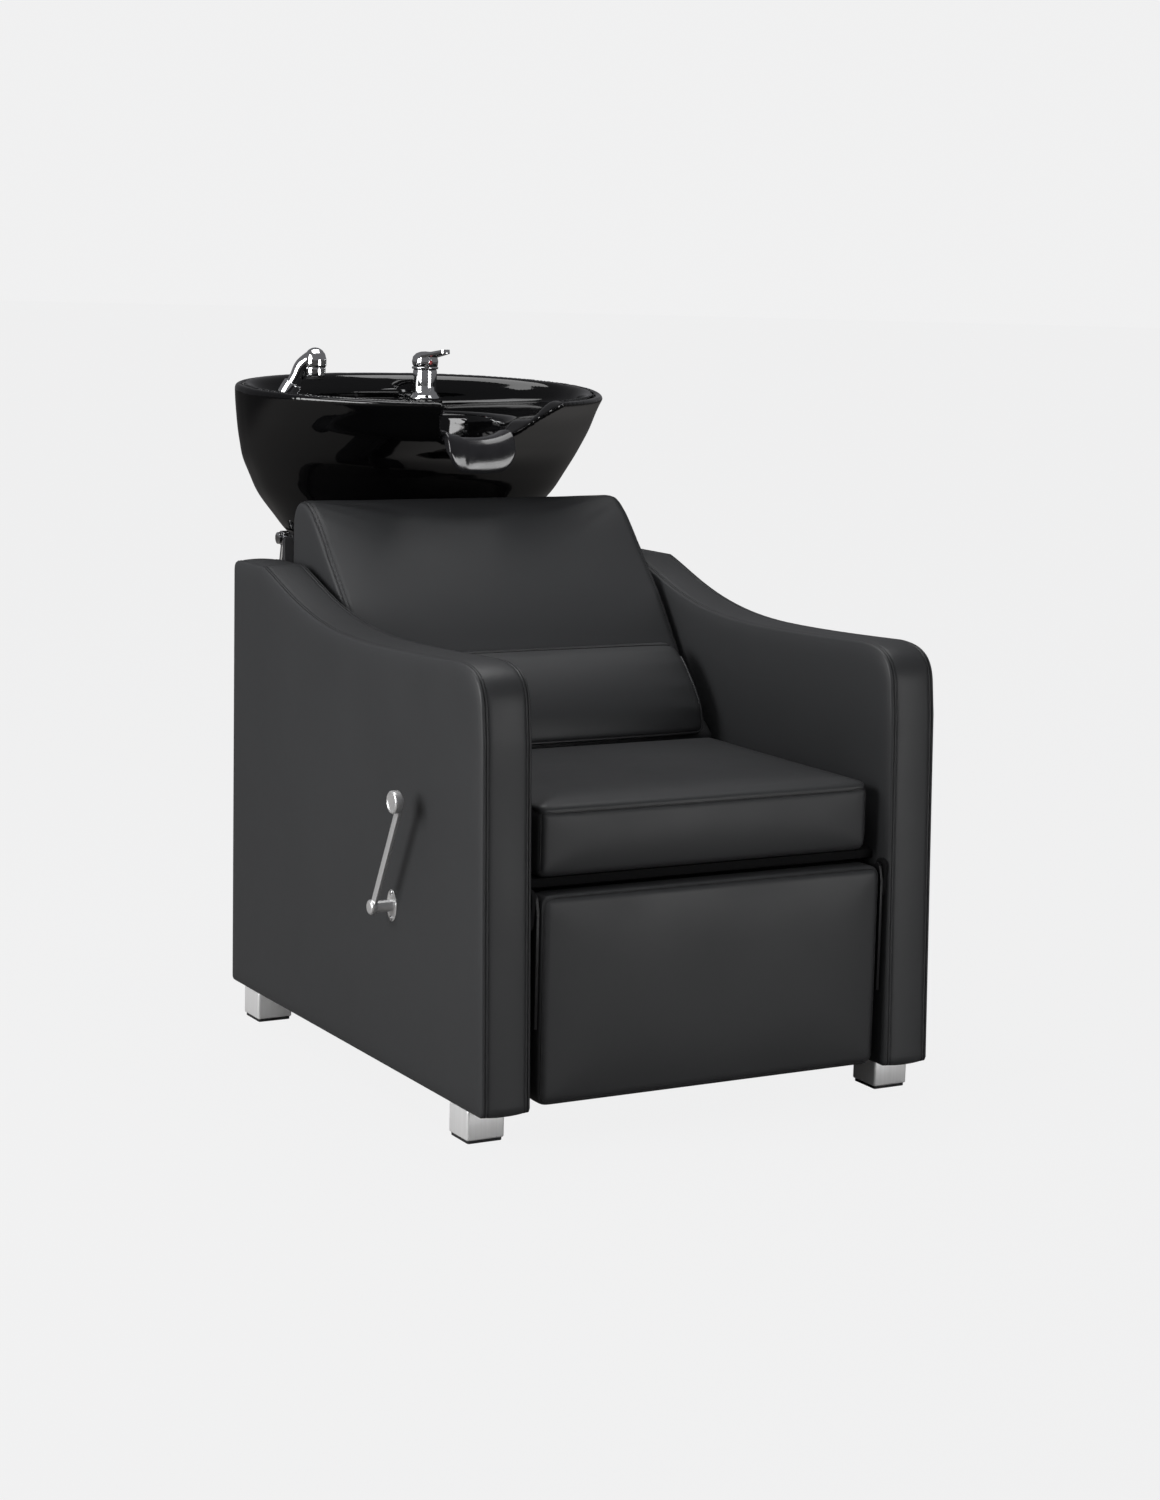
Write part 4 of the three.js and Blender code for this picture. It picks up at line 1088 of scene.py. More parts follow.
# For each cushion: the grid of its cover and how far the cover may move, in millimetres, and its body.
CUSHIONS = {
    "seat_cushion": {"grid": 5.5, "cap": 9.0, "body": "chassis"},
    "backrest": {"grid": 5.5, "cap": 9.0, "body": "chassis"},
    "lumbar_pillow": {"grid": 4.5, "cap": 16.0, "body": "chassis"},
    "footrest_pad": {"grid": 5.5, "cap": 8.0, "body": "footrest"},
}


def make_cushion(node, points, faces, held):
    """The cover that stands for a CAD cushion, inflated from a closed form that is a little too small."""
    cushion = CUSHIONS[node]
    name = node + "_cover"
    mesh = inflate(name, points, faces, cushion["grid"], cushion["cap"], held)
    return adopt(name, mesh, "leather", cushion["body"], [node])


SEAT_LOW, SEAT_HIGH = chair_box("seat_cushion")


def make_seat():
    """Box cushion: crowned top and front, held at its welted edges and where it rests on the deck."""
    low, high = SEAT_LOW + Vector((2, 2, 0.5)), SEAT_HIGH - Vector((2, 1, 1.5))
    outline = rounded_box_outline(low.y, high.y, low.z, high.z, (12, 10, 10, 13))
    points, faces = closed_prism(resample(outline, 7.0, True), low.x, high.x, 9.0)

    def held(x, y, z):
        bottom = 1 - ramp(z, low.z + 1, low.z + 9)
        top_edge = near(z, high.z - 9, 7.0) * np.maximum(
            1 - ramp(y, low.y + 3, low.y + 10), 1 - ramp(high.x - np.abs(x), 3, 10)
        )
        corner = near(np.abs(x), high.x - 4, 7) * (1 - ramp(y, low.y + 6, low.y + 16))
        rear = ramp(y, high.y - 26, high.y - 6)
        return np.maximum.reduce([bottom, 0.85 * top_edge, 0.8 * corner, rear])

    piece = make_cushion("seat_cushion", points, faces, held)
    seam_z = high.z - 10
    front = np.array([(x, low.y - 4, seam_z) for x in np.linspace(low.x + 5, high.x - 5, 60)])
    left = np.array([(low.x - 4, y, seam_z) for y in np.linspace(low.y + 5, high.y - 12, 50)])
    right = left * np.array([-1, 1, 1])
    heights = np.linspace(low.z + 10, seam_z, 20)
    corners = [np.array([(s * (high.x + 2), low.y - 1, z) for z in heights]) for s in (-1, 1)]
    top_route = np.vstack([left[::-1], front, right])
    press_seams(piece, [top_route, *corners], 1.6, 3.2)
    lay_cord("seat_cushion_seam", piece, top_route, 0.8, -0.1)
    for side, route in zip(("left", "right"), corners):
        lay_cord("seat_cushion_corner_seam_" + side, piece, route, 0.8, -0.1)


BACK_LOW, BACK_HIGH = chair_box("backrest")


def back_outline():
    """Anticlockwise (y, z) outline of the backrest: a wedge whose front leans back and rolls over the top."""
    rear, bottom = BACK_HIGH.y, BACK_LOW.z
    front = BACK_LOW.y
    runs = [
        arc((front + 8, bottom + 8), 8, 180, 270, 6),
        arc((rear - 6, bottom + 6), 6, 270, 360, 6),
        bezier((rear, 715), (rear, 745), (775, 760), (755, 760), 20),
        bezier((755, 760), (735, 760), (715, 744), (690, 718), 20),
        np.array([(690, 718), (600, 622)]),
        bezier((600, 622), (545, 555), (510, 490), (front, 435), 30),
    ]
    return resample(np.vstack(runs), 7.0, closed=True)


def make_backrest():
    half = BACK_HIGH.x - 2.0
    outline = back_outline()
    shrunk = outline - loop_normals(outline) * 2.5
    points, faces = closed_prism(shrunk, -half, half, 7.0)

    def held(x, y, z):
        rear = ramp(y, BACK_HIGH.y - 12, BACK_HIGH.y - 5)
        low = 1 - ramp(z, 500, 590)
        edge = near(half - np.abs(x), 4.0, 7.0)
        flank = ramp(np.abs(x), half - 3.5, half - 1.0) * 0.55
        return np.maximum.reduce([rear, low, 0.9 * edge, flank])

    piece = make_cushion("backrest", points, faces, held)
    keep = (outline[:, 1] > 452) & (outline[:, 0] < BACK_HIGH.y - 2)
    run = ordered(outline[keep])
    seams, rows = [], []
    for sign in (-1, 1):
        seams.append(np.column_stack([np.full(len(run), sign * (half + 0.5)), run]))
        rows.append((np.column_stack([np.full(len(run), sign * (half - BAND_STRIP)), run]), False))
    press_seams(piece, seams + [r for r, _ in rows], 1.0, 2.6)
    for side, route in zip(("left", "right"), seams):
        lay_cord("backrest_seam_" + side, piece, route, 0.8, -0.15)
    lay_stitches("backrest_stitches", piece, rows)


def ordered(run):
    """Turns a run cut out of a closed outline so that it starts after its widest jump."""
    jumps = np.linalg.norm(np.roll(run, -1, 0) - run, axis=1)
    return np.roll(run, -(int(jumps.argmax()) + 1), 0)


LUMBAR_LOW, LUMBAR_HIGH = chair_box("lumbar_pillow")


def make_lumbar():
    """A stuffed pillow that lies against the lower backrest, with piping round its front panel."""
    # height, front, rear and half width
    stations = [
        (435.5, 431, 446, 230), (445, 427, 453, 236), (475, 434, 476, 239),
        (505, 454, 501, 239), (535, 483, 524, 237), (551, 506, 536, 234), (558, 524, 541, 228),
    ]
    rings = []
    turn = np.linspace(0, 2 * np.pi, 64, endpoint=False)

    def squared(value):
        return np.sign(value) * np.abs(value) ** 0.42

    for z, front, rear, half in stations:
        x = half * squared(np.cos(turn))
        y = (front + rear) / 2 + (rear - front) / 2 * squared(np.sin(turn))
        rings.append(np.column_stack([x, y, np.full(len(turn), z)]))
    faces = skin(len(rings), len(turn)) + caps(len(rings), len(turn))

    def held(x, y, z):
        lean = 424 + np.maximum(z - 446, 0) * 1.0
        rear = ramp(y - lean, 20, 30)
        edge = ramp(np.abs(x), 216, 234)
        low = 1 - ramp(z, 439, 446)
        high = ramp(z, 546, 556)
        return np.maximum.reduce([rear, edge, low, high])

    piece = make_cushion("lumbar_pillow", np.vstack(rings), faces, held)
    side = [(233, 434, 441), (237, 438, 462), (239, 448, 490), (238, 468, 520), (236, 498, 545)]
    bottom = [(x, 428, 438) for x in np.linspace(-226, 226, 30)]
    route = [(-x, y, z) for x, y, z in reversed(side)] + bottom + side
    press_seams(piece, [np.array(route)], 0.8, 3.5)
    lay_cord("lumbar_pillow_piping", piece, np.array(route), 1.7, 0.7, "piping")
    top = np.array([(x, 521, 558) for x in np.linspace(-228, 228, 40)])
    lay_cord("lumbar_pillow_top_seam", piece, top, 0.9, 0.1)


FOOTREST_LOW, FOOTREST_HIGH = chair_box("footrest_pad")


def make_footrest():
    low, high = FOOTREST_LOW, FOOTREST_HIGH
    half = high.x - 1.5
    # Drawn in (x, z), so that the rounded corners of the front panel show, and extruded along y.
    outline = rounded_box_outline(-half, half, low.z + 1.5, high.z - 1.5, (12, 12, 12, 12))
    shape = resample(outline, 7.0, True)
    points, faces = closed_prism(shape, low.y + 3, high.y, 8.0)
    along_y = points[:, [1, 0, 2]]
    faces = [tuple(reversed(f)) for f in faces]

    def held(x, y, z):
        rear = ramp(y, high.y - 14, high.y - 6)
        away = np.minimum(half - np.abs(x), np.minimum(z - low.z - 1.5, high.z - 1.5 - z))
        edge = near(away, 4.0, 6.0) * 0.9
        return np.maximum(rear, edge)

    piece = make_cushion("footrest_pad", along_y, faces, held)
    inner = rounded_box_outline(-half + 1, half - 1, low.z + 2, high.z - 2, (11, 11, 11, 11))
    loop = resample(inner, 5.0, True)
    route = np.column_stack([loop[:, 0], np.full(len(loop), low.y + 1), loop[:, 1]])
    press_seams(piece, [np.vstack([route, route[:1]])], 1.4, 3.0)
    lay_cord("footrest_pad_seam", piece, route, 0.8, -0.1, closed=True, body="footrest")


def make_upholstery():
    for side in (-1, 1):
        make_arm(side)
    make_seat()
    make_backrest()
    make_lumbar()
    make_footrest()


# ------------------------------------------------------------------ basin: one surface from joined shapes

# Height, front, half width, place of the widest point, rear and pointedness of the front half.
OUTER_RINGS = np.array([
    (652, 853, 138, 918, 973, 2.0),
    (662, 850, 156, 930, 988, 2.0),
    (690, 848, 188, 950, 1014, 2.0),
    (720, 842, 214, 948, 1036, 2.0),
    (755, 825, 243, 938, 1052, 2.0),
    (780, 806, 257, 930, 1060, 1.9),
    (808, 776, 271, 922, 1066, 1.8),
    (830, 738, 278, 913, 1070, 1.7),
    (852, 697, 284, 906, 1073, 1.65),
    (878, 645, 288, 903, 1075, 1.62),
    (898, 594, 289, 903, 1075, 1.6),
])
TRAY_RINGS = np.array([
    (880, 668, 248, 900, 1040, 1.75),
    (892, 655, 257, 903, 1047, 1.65),
    (905, 638, 265, 903, 1056, 1.6),
])
WELL_RINGS = np.array([
    (699, 874, 27, 900, 926, 2.0),
    (704, 864, 42, 900, 934, 2.0),
    (725, 858, 66, 898, 946, 2.0),
    (760, 842, 86, 892, 960, 2.0),
    (800, 806, 98, 882, 972, 2.0),
    (838, 742, 106, 868, 980, 2.0),
    (864, 722, 112, 860, 984, 2.0),
])
RIM = {"front_z": 904.0, "rise": 24.0, "front_y": 625.0, "rear_y": 1072.0}
SHELF = {"edge_z": 871.0, "slope": 0.10}
NOTCH = {"floor": 838.0, "half_mid": 58.0, "mid_z": 852.0, "half_top": 98.0, "top_z": 906.0, "rear": 770.0}
CERAMIC_WALL = 11.0
DRAIN = {"y": 900.0, "radius": 24.0, "top": 699.0}
MIXER = {"x": 62.0, "y": 1012.0, "boss": 28.0}
SHOWER = {"x": -194.0, "y": 963.0, "boss": 22.0, "lean": 30.0, "azimuth": -34.0, "reach": 44.0}
BOSS_TOP = 889.0
REAR_POWER = 2.1


def smooth_columns(table, z):
    """Each column of a table of rings, read at heights z by smooth cubic pieces, level beyond its ends."""
    heights = table[:, 0]
    slopes = np.gradient(table[:, 1:], heights, axis=0)
    z = np.clip(z, heights[0], heights[-1])
    row = np.clip(np.searchsorted(heights, z, side="right") - 1, 0, len(heights) - 2)
    width = heights[row + 1] - heights[row]
    t = ((z - heights[row]) / width)[..., None]
    width = width[..., None]
    start, end = table[row, 1:], table[row + 1, 1:]
    return hermite(t, width, start, end, slopes[row], slopes[row + 1])


def soft_abs(value, softness=9.0):
    return np.sqrt(value * value + softness * softness) - softness


def ring_gap(table, x, y, z):
    """Distance outside a ring in its own level plane, measured from the ring's middle."""
    front, half, wide, rear, power = np.moveaxis(smooth_columns(table, z), -1, 0)
    dy = y - wide
    reach = np.where(dy < 0, wide - front, rear - wide)
    power = np.where(dy < 0, power, REAR_POWER)
    across = soft_abs(x) / soft_abs(half)
    along = soft_abs(dy) / soft_abs(reach)
    scale = np.maximum((across**power + along**power) ** (1 / power), 1e-6)
    return np.hypot(x, dy) * (1 - 1 / scale)


def rim_rise(y):
    """How much higher the rim lies at y than at its front."""
    t = np.maximum(0.0, (y - RIM["front_y"]) / (RIM["rear_y"] - RIM["front_y"]))
    return RIM["rise"] * t * t


def smooth_max(a, b, k):
    """The larger value, rounded over where the two are less than k apart."""
    h = np.maximum(k - np.abs(a - b), 0) / k
    return np.maximum(a, b) + h * h * k / 4


def smooth_min(a, b, k):
    return -smooth_max(-a, -b, k)


def level_shapes(p):
    """The basin's three walls, still measured level: outer side, tray side and well side."""
    x, y, z = p[..., 0], p[..., 1], p[..., 2]
    rise = rim_rise(y)
    outer = ring_gap(OUTER_RINGS, x, y, z - rise * ramp(z, 830, 898))
    tray = ring_gap(TRAY_RINGS, x, y, z - rise * ramp(z, 880, 905))
    well = ring_gap(WELL_RINGS, x, y, z - 0.3 * rise * ramp(z, 850, 870))
    return np.stack([outer, tray, well], -1)


def slopes_of(field, p, reach):
    """How fast a field changes at p along x, y and z."""
    shifts = np.eye(3) * reach
    return [(field(p + shift) - field(p - shift)) / (2 * reach) for shift in shifts]


def wall_distances(p):
    """The same walls as true distances: each divided by how fast it changes."""
    steepness = sum(slope**2 for slope in slopes_of(level_shapes, p, 0.8))
    return level_shapes(p) / np.sqrt(np.maximum(steepness, 0.05))


def notch_height(x):
    """Floor of the neck notch across the basin: a round bottom that turns into steep sides."""
    share = np.minimum(1.0, np.abs(x) / NOTCH["half_mid"])
    t = 3 - np.sqrt(9 - 5 * share)
    rise = NOTCH["mid_z"] - NOTCH["floor"]
    bottom = NOTCH["floor"] + rise * t * t + 0.6 * np.maximum(0, np.abs(x) - NOTCH["half_mid"])
    slope = (NOTCH["top_z"] - NOTCH["mid_z"]) / (NOTCH["half_top"] - NOTCH["half_mid"])
    sides = NOTCH["mid_z"] + slope * (np.abs(x) - NOTCH["half_mid"])
    return smooth_max(bottom, sides, 9.0)


def basin_field(p, walls=None):
    """Negative inside the ceramic, positive outside it, about in millimetres."""
    x, y, z = p[..., 0], p[..., 1], p[..., 2]
    walls = wall_distances(p) if walls is None else walls
    outer, tray_side, well_side = walls[..., 0], walls[..., 1], walls[..., 2]
    shelf = SHELF["edge_z"] + SHELF["slope"] * np.maximum(well_side, 0) + 0.05 * rim_rise(y)
    tray = smooth_max(tray_side, shelf - z, 14.0)
    well = smooth_max(well_side, DRAIN["top"] - z, 10.0)
    hollow = smooth_min(tray, well, 13.0)
    notch = smooth_max((notch_height(x) - z) * 0.72, y - NOTCH["rear"], 6.0)
    body = smooth_max(outer, z - RIM["front_z"] - rim_rise(y), 9.0)
    body = smooth_max(body, OUTER_RINGS[0, 0] - z, 4.0)
    wall = CERAMIC_WALL
    underside = np.maximum.reduce([outer + wall, wall - hollow, wall - notch])
    for tap in (MIXER, SHOWER):
        radius = np.hypot(x - tap["x"], y - tap["y"])
        boss = smooth_max(radius - tap["boss"], z - BOSS_TOP, 3.0)
        boss = np.maximum(boss, 866.0 - z)
        hollow = smooth_max(hollow, -boss, 6.0)
        underside = np.maximum(underside, wall - 6 - boss)
    body = smooth_max(body, -hollow, 8.0)
    body = smooth_max(body, -notch, 7.0)
    body = smooth_max(body, -underside, 5.0)
    drain = DRAIN["radius"] - np.hypot(x, y - DRAIN["y"])
    return smooth_max(body, np.minimum(drain, 730.0 - z), 2.0)


def surface_net(values, origin, step):
    """Quads along a gridded field's zero surface: a point per mixed cell, a quad per crossed edge."""
    cell_id = -np.ones(values.shape, int)
    sums = np.zeros((*values.shape, 3))
    counts = np.zeros(values.shape, int)
    inside = values < 0
    crossings = []
    for axis in range(3):
        first = [slice(None)] * 3
        second = [slice(None)] * 3
        first[axis], second[axis] = slice(None, -1), slice(1, None)
        edge = np.argwhere(inside[tuple(first)] != inside[tuple(second)])
        edge = edge[((edge > 0) & (edge < np.array(values.shape) - 2)).all(1)]
        other = edge + np.eye(3, dtype=int)[axis]
        a = values[tuple(edge.T)]
        b = values[tuple(other.T)]
        point = edge + np.eye(3)[axis] * (a / (a - b))[:, None]
        u, v = (axis + 1) % 3, (axis + 2) % 3
        unit_u, unit_v = np.eye(3, dtype=int)[u], np.eye(3, dtype=int)[v]
        around = [edge, edge - unit_u, edge - unit_u - unit_v, edge - unit_v]
        for cell in around:
            np.add.at(sums, tuple(cell.T), point)
            np.add.at(counts, tuple(cell.T), 1)
        crossings.append((around, a < 0))
    used = counts > 0
    cell_id[used] = np.arange(used.sum())
    points = sums[used] / counts[used][:, None] * step + origin
    quads = []
    for around, outward in crossings:
        corners = np.stack([cell_id[tuple(cell.T)] for cell in around], 1)
        corners[~outward] = corners[~outward][:, ::-1]
        quads.append(corners)
    return points, np.vstack(quads)


def settle_on_field(points, quads, rounds):
    """Evens out the points along the surface and then draws them exactly on to it."""
    edges = np.vstack([quads[:, [i, (i + 1) % 4]] for i in range(4)])
    for _ in range(rounds):
        sums = np.zeros_like(points)
        counts = np.zeros(len(points))
        for a, b in ((0, 1), (1, 0)):
            np.add.at(sums, edges[:, a], points[edges[:, b]])
            np.add.at(counts, edges[:, a], 1)
        slope = np.stack(slopes_of(basin_field, points, 0.5), -1)
        size = np.linalg.norm(slope, axis=1)[:, None]
        normal = slope / np.maximum(size, 1e-6)
        even = sums / counts[:, None] - points
        points = points + 0.6 * (even - (even * normal).sum(1)[:, None] * normal)
        value = basin_field(points)[:, None]
        points = points - np.clip(value / np.maximum(size, 0.3), -2.5, 2.5) * normal
    return points


BASIN_GRID = {"step": 4.0, "low": (-300.0, 576.0, 636.0), "high": (300.0, 1092.0, 944.0)}


def make_basin():
    low = np.array(BASIN_GRID["low"])
    step = BASIN_GRID["step"] * 1.0
    axes = [np.arange(a, b, step) for a, b in zip(low, BASIN_GRID["high"])]
    grid = np.stack(np.meshgrid(*axes, indexing="ij"), -1)
    level = level_shapes(grid)
    steep = [np.sqrt(sum(g * g for g in np.gradient(level[..., i], step))) for i in range(3)]
    walls = level / np.sqrt(np.maximum(np.stack(steep, -1) ** 2, 0.05))
    points, quads = surface_net(basin_field(grid, walls), low, step)
    points = settle_on_field(points, quads, 6)
    piece = put("basin_bowl", points, quads.tolist(), "glaze", "basin_unit", ["basin"])
    piece.data.materials.append(MATERIALS["biscuit"])
    foot = OUTER_RINGS[0, 0] * MM + 1.2 * MM
    for face in piece.data.polygons:
        if face.center.z < foot and face.normal.z < -0.9:
            face.material_index = 1


# ------------------------------------------------------------------ neck rest


# half: half width; ends: where its rounded ends lie beyond that; low: its lower edge in the middle
NECK_REST = {"half": 53.0, "ends": [54.8, 55.5], "low": 797.0}


def make_neck_rest():
    """Soft silicone saddle: lies in the notch, rolls over the lip and hangs in front of it."""
    half = NECK_REST["half"]
    ends = NECK_REST["ends"]
    columns = np.concatenate([[-x for x in reversed(ends)], np.linspace(-half, half, 19), ends])
    points = []
    for x in columns:
        floor = float(notch_height(np.array([np.clip(x, -half, half)]))[0]) + 1.2
        edge = min(1.0, abs(x) / half)
        low = NECK_REST["low"] + 6 * edge**2 + 19 * edge**8
        fold = 1.6 * math.exp(-(((x + 30) / 5.0) ** 2)) - 1.2 * math.exp(-(((x + 22) / 5.0) ** 2))
        inside = [(751 - 4 * edge, floor + 0.6), (751 - 4 * edge, floor + 3.6), (742, floor + 6.4)]
        crown = [(730, floor + 8.2 + fold), (716, floor + 9.0 + fold), (705, floor + 7.4 + fold)]
        front = [(696, floor + 0.5), (690.5 - fold, floor - 9), (687.5 - fold, floor - 19)]
        lower_edge = [(686.5, low + 7), (687.5, low + 1), (690.5, low - 1), (694.5, low + 1.5)]
        against_lip = [(696.5, floor - 21), (698.5, floor - 12), (702.5, floor - 3), (710, floor + 0.2)]
        section = inside + crown + front + lower_edge + against_lip
        middle = np.mean(section, 0)
        shrink = 1.0 if abs(x) <= half else (0.86 if abs(x) < 55 else 0.45)
        for y, z in section:
            y, z = middle + (np.array((y, z)) - middle) * shrink
            points.append((x, y, z))
    rows = len(columns)
    faces = skin(rows, len(section)) + caps(rows, len(section))
    piece = put("neck_rest_gel", points, faces, "gel", "basin_unit", ["neck_rest"])
    weld(piece.data)
    piece.modifiers.new("finer", "SUBSURF").levels = 2
    mesh = baked(piece)
    mesh.shade_smooth()


# ------------------------------------------------------------------ round metalwork


def rounded_profile(profile, radius, steps=4):
    """A profile of (radius, height) corners with each inner corner rounded by short arcs."""
    profile = [np.array(p, float) for p in profile]
    made = [profile[0]]
    for before, corner, after in zip(profile, profile[1:], profile[2:]):
        back, ahead = before - corner, after - corner
        reach = min(radius, 0.45 * np.linalg.norm(back), 0.45 * np.linalg.norm(ahead))
        start = corner + back / max(np.linalg.norm(back), 1e-9) * reach
        end = corner + ahead / max(np.linalg.norm(ahead), 1e-9) * reach
        for t in np.linspace(0, 1, steps):
            made.append((1 - t) ** 2 * start + 2 * (1 - t) * t * corner + t * t * end)
    made.append(profile[-1])
    return made


def lathe(profile, sides=56, stretch=(1.0, 1.0)):
    """Points and faces of a body turned about +Z. Its profile ends on the axis, or is a closed loop."""
    profile = [tuple(p) for p in profile]
    closed = np.allclose(profile[0], profile[-1])
    if closed:
        profile = profile[:-1]
    turn = np.linspace(0, 2 * np.pi, sides, endpoint=False)
    points = []
    for radius, height in profile:
        wide, deep = radius * stretch[0], radius * stretch[1]
        points += [(wide * math.cos(angle), deep * math.sin(angle), height) for angle in turn]
    return np.array(points), skin(len(profile), sides, closed)


def turned(name, profile, place, material, body, replaces=(), axis=(0, 0, 1), sides=56, stretch=(1, 1)):
    """A turned piece whose axis passes through a place in the chair's frame. Poles on the axis are welded."""
    points, faces = lathe(profile, sides, stretch)
    spin = np.array(Vector((0, 0, 1)).rotation_difference(Vector(axis)).to_matrix())
    points = points @ spin.T + np.array(place)
    piece = put(name, points, faces, material, body, replaces)
    weld(piece.data)
    set_smooth_by_angle(piece.data, 40)
    return piece


def make_drain():
    top = DRAIN["top"]
    place = (0, DRAIN["y"], 0)
    flange = rounded_profile([
        (20, top - 24), (22.6, top - 24), (22.6, top + 0.4), (27, top + 0.6),
        (27.5, top + 1.4), (23, top + 3.0), (20, top + 1.6), (20, top - 24),
    ], 0.8)
    turned("drain_flange_ring", flange, place, "chrome", "basin_unit", ["drain_flange"])
    tail = rounded_profile([
        (16, 600), (19, 600), (19, 636), (26, 638), (27, 644),
        (27, 668), (25, 674), (20.5, 674.5), (16, 674.5), (16, 600),
    ], 1.2)
    plastic = "black_plastic"
    turned("drain_tailpiece_tube", tail, place, plastic, "basin_unit", ["drain_tailpiece"])
    refine("drain_strainer", "chrome", 0.25)


MIXER_TOP = BOSS_TOP + 46


def make_mixer():
    place = (MIXER["x"], MIXER["y"], 0)
    z = BOSS_TOP
    shank_and_nut = [(0, 839.7), (15, 839.7), (15, 853.7), (22, 853.7), (22, 861.7), (15, 861.7)]
    flange = [(15, z + 0.3), (25, z + 0.3), (25, z + 2.6), (21.5, z + 6), (19.2, z + 11)]
    barrel = [(18.6, z + 20), (18.6, MIXER_TOP - 2), (17.6, MIXER_TOP), (0, MIXER_TOP)]
    body = rounded_profile(shank_and_nut + flange + barrel, 1.6)
    turned("mixer_body_chrome", body, place, "chrome", "basin_unit", ["mixer_body"], sides=64)
    ring_z = MIXER_TOP + 0.3
    ring = rounded_profile([
        (0, ring_z), (19.6, ring_z), (20.6, ring_z + 1.2),
        (20.6, ring_z + 2.9), (19.6, ring_z + 4), (0, ring_z + 4),
    ], 0.7)
    turned("mixer_ring_chrome", ring, place, "chrome", "mixer_swivel", ["mixer_ring"], sides=64)
    refine("mixer_lever", "chrome", 1.1, 3, 38.0)
    mark = rounded_profile([(0, -0.2), (3.0, -0.2), (3.0, 0.7), (1.6, 1.0), (0, 1.1)], 0.3)
    front = (MIXER["x"], MIXER["y"] - 19.6, MIXER_TOP + 11)
    turned("mixer_warm_mark", mark, front, "red_mark", "mixer_lever", axis=(0, -1, 0.05), sides=24)


def shower_axis():
    """Which way the shower's socket points."""
    lean, azimuth = math.radians(SHOWER["lean"]), math.radians(SHOWER["azimuth"])
    return Vector((math.sin(lean) * math.cos(azimuth), math.sin(lean) * math.sin(azimuth), math.cos(lean)))


def out_from_seat(distance, z):
    """A point at height z, a distance out from the shower's socket on the side the handset leans to."""
    azimuth = math.radians(SHOWER["azimuth"])
    return Vector((SHOWER["x"] + distance * math.cos(azimuth), SHOWER["y"] + distance * math.sin(azimuth), z))


def swept(name, centres, radii, material, body, replaces=(), sides=32):
    """A round body along a smooth line, with its own radius at each point."""
    centres = np.array([tuple(c) for c in centres])
    t = np.arange(len(centres), dtype=float)
    fine = np.linspace(0, t[-1], 48)
    line = np.stack([cubic_through(t, centres[:, i], fine) for i in range(3)], 1)
    width = cubic_through(t, np.array(radii, float), fine)
    ahead = np.gradient(line, axis=0)
    ahead /= np.linalg.norm(ahead, axis=1)[:, None]
    points = rings_along(line, ahead, width, sides, (0.2, 0.9, 0.3))
    faces = skin(len(line), sides) + caps(len(line), sides)
    return put(name, points, faces, material, body, replaces)


def cubic_through(t, values, fine):
    """Smooth interpolation through evenly spaced values."""
    slopes = np.gradient(values, t)
    row = np.clip(np.searchsorted(t, fine, side="right") - 1, 0, len(t) - 2)
    return hermite(fine - t[row], 1.0, values[row], values[row + 1], slopes[row], slopes[row + 1])


def make_shower():
    axis = shower_axis()
    seat = Vector((SHOWER["x"], SHOWER["y"], BOSS_TOP + 8))
    z = BOSS_TOP
    flange = rounded_profile([
        (0, z - 36), (9.5, z - 36), (9.5, z + 0.3), (19, z + 0.3),
        (19, z + 2.5), (15.5, z + 7), (12, z + 9.5), (0, z + 9.5),
    ], 1.2)
    below = (SHOWER["x"], SHOWER["y"], 0)
    turned("shower_holder_flange", flange, below, "chrome", "basin_unit", ["shower_holder"])
    socket = rounded_profile([
        (11.2, 4), (14.8, 1), (15.2, 3), (14.2, 21), (13.4, 22.2), (11.2, 22), (11.2, 4),
    ], 0.8)
    turned("shower_holder_socket", socket, seat, "chrome", "basin_unit", axis=axis)
    route = [seat + axis * along for along in (6, 20, 33)]
    route += [out_from_seat(SHOWER["reach"] - short, z) for short, z in ((20, 941), (8, 951), (0, 954))]
    radii = [10.6, 10.8, 11.0, 11.8, 12.6, 13.2]
    swept("shower_handset_grip", route, radii, "chrome", "handset", ["shower_handset"])
    head = rounded_profile([
        (0, 926), (13.6, 926), (15.4, 928), (15.6, 939), (15.0, 940.5), (16.6, 942.5),
        (16.8, 953), (14.6, 961), (10, 966.5), (5, 969.3), (0, 970),
    ], 1.6)
    place = out_from_seat(SHOWER["reach"], 0)
    turned("shower_handset_head", head, place, "chrome", "handset", sides=56)
    face = rounded_profile([(0, 922), (11.4, 922), (12.8, 923.4), (12.8, 925.7), (0, 925.7)], 0.6)
    turned("shower_face_plate", face, place, "rubber", "handset", ["shower_face"])
    nozzles, faces = [], []
    for ring, number in ((3.6, 6), (7.6, 12)):
        for i in range(number):
            angle = 2 * math.pi * i / number
            centre = Vector((place.x + ring * math.cos(angle), place.y + ring * math.sin(angle), 0))
            dots, sides = lathe([(0, 921.0), (0.5, 921.1), (0.75, 922.4), (0, 922.4)], 10)
            first = len(nozzles)
            nozzles += [tuple(np.array(centre) + p) for p in dots]
            faces += [tuple(first + k for k in f) for f in sides]
    piece = put("shower_face_nozzles", nozzles, faces, "rubber", "handset")
    weld(piece.data)


# ------------------------------------------------------------------ lever and feet

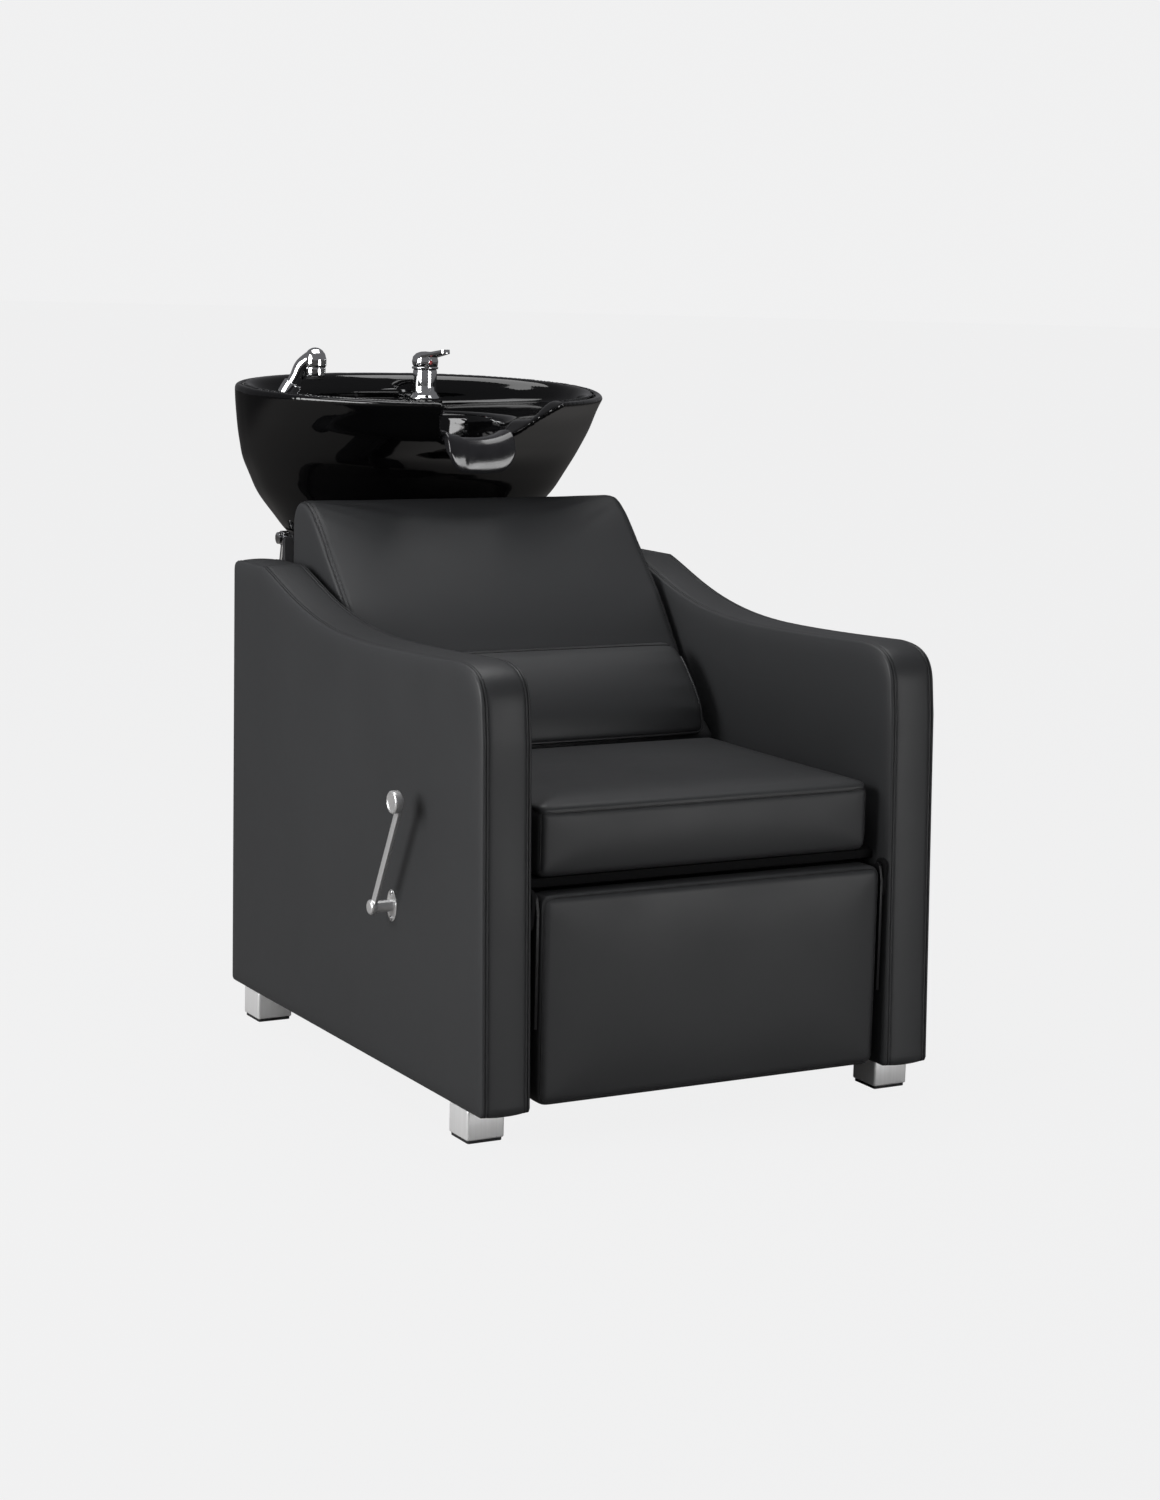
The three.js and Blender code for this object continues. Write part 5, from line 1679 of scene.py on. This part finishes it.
SHAFT = {"y": 261.0, "z": 267.0}
LEVER_REACH = 172.0
LEVER_LEAN = math.radians(27)
LEVER_TIP = {
    "y": SHAFT["y"] - LEVER_REACH * math.sin(LEVER_LEAN),
    "z": SHAFT["z"] + LEVER_REACH * math.cos(LEVER_LEAN),
}
HUB_FACE = -372.2  # outer face of the lever's hub


def make_lever():
    refine("lever_arm", "satin_steel", 0.9, 3)
    face = chair_box("lever_knob")[0].x
    depth = chair_box("lever_knob")[1].x - face
    steel = "satin_steel"
    outward = (-1, 0, 0)
    knob = rounded_profile([
        (0, 0), (13.2, 0), (15, 1.2), (15, depth - 1.5),
        (13.4, depth), (11.4, depth - 0.2), (10.6, depth - 1.0), (0, depth - 0.9),
    ], 0.8)
    tip = (face + depth, LEVER_TIP["y"], LEVER_TIP["z"])
    turned("lever_knob_disc", knob, tip, steel, "drive", ["lever_knob"], outward, 72)
    wall = -ARM["outer"] - 0.3
    plate = rounded_profile([(0, 0), (17, 0), (17, 1.4), (15.2, 2.9), (12, 3.6), (0, 3.7)], 0.8)
    on_wall = (wall, SHAFT["y"], SHAFT["z"])
    oval = (25 / 17, 1.0)
    node = "lever_escutcheon"
    turned(node + "_plate", plate, on_wall, steel, "chassis", [node], outward, 72, oval)
    for name, sign in (("upper", 1), ("lower", -1)):
        screw = rounded_profile([(0, 0), (3.6, 0), (3.3, 1.2), (1.8, 1.8), (0, 1.9)], 0.4)
        node = "escutcheon_screw_" + name
        on_plate = (wall - 3.6, SHAFT["y"], SHAFT["z"] + sign * 17)
        turned(node + "_head", screw, on_plate, "chrome", "chassis", [node], outward, 32)
    hub = rounded_profile([(0, 0), (9.5, 0), (9.5, 3), (7.5, 4.2), (0, 4.4)], 0.8)
    turned("lever_hub_cap", hub, (HUB_FACE, SHAFT["y"], SHAFT["z"]), steel, "drive", (), outward, 48)


def make_feet():
    for place in ("front", "rear"):
        for side in ("left", "right"):
            refine(f"foot_{place}_{side}", "foot_metal", 2.2, 4)


# ------------------------------------------------------------------ everything

bpy.context.scene.view_settings.view_transform = "Standard"
make_camera()
make_world()
make_floor()
make_upholstery()
make_basin()
make_neck_rest()
make_drain()
make_mixer()
make_shower()
make_lever()
make_feet()
refine_all()
make_softboxes()
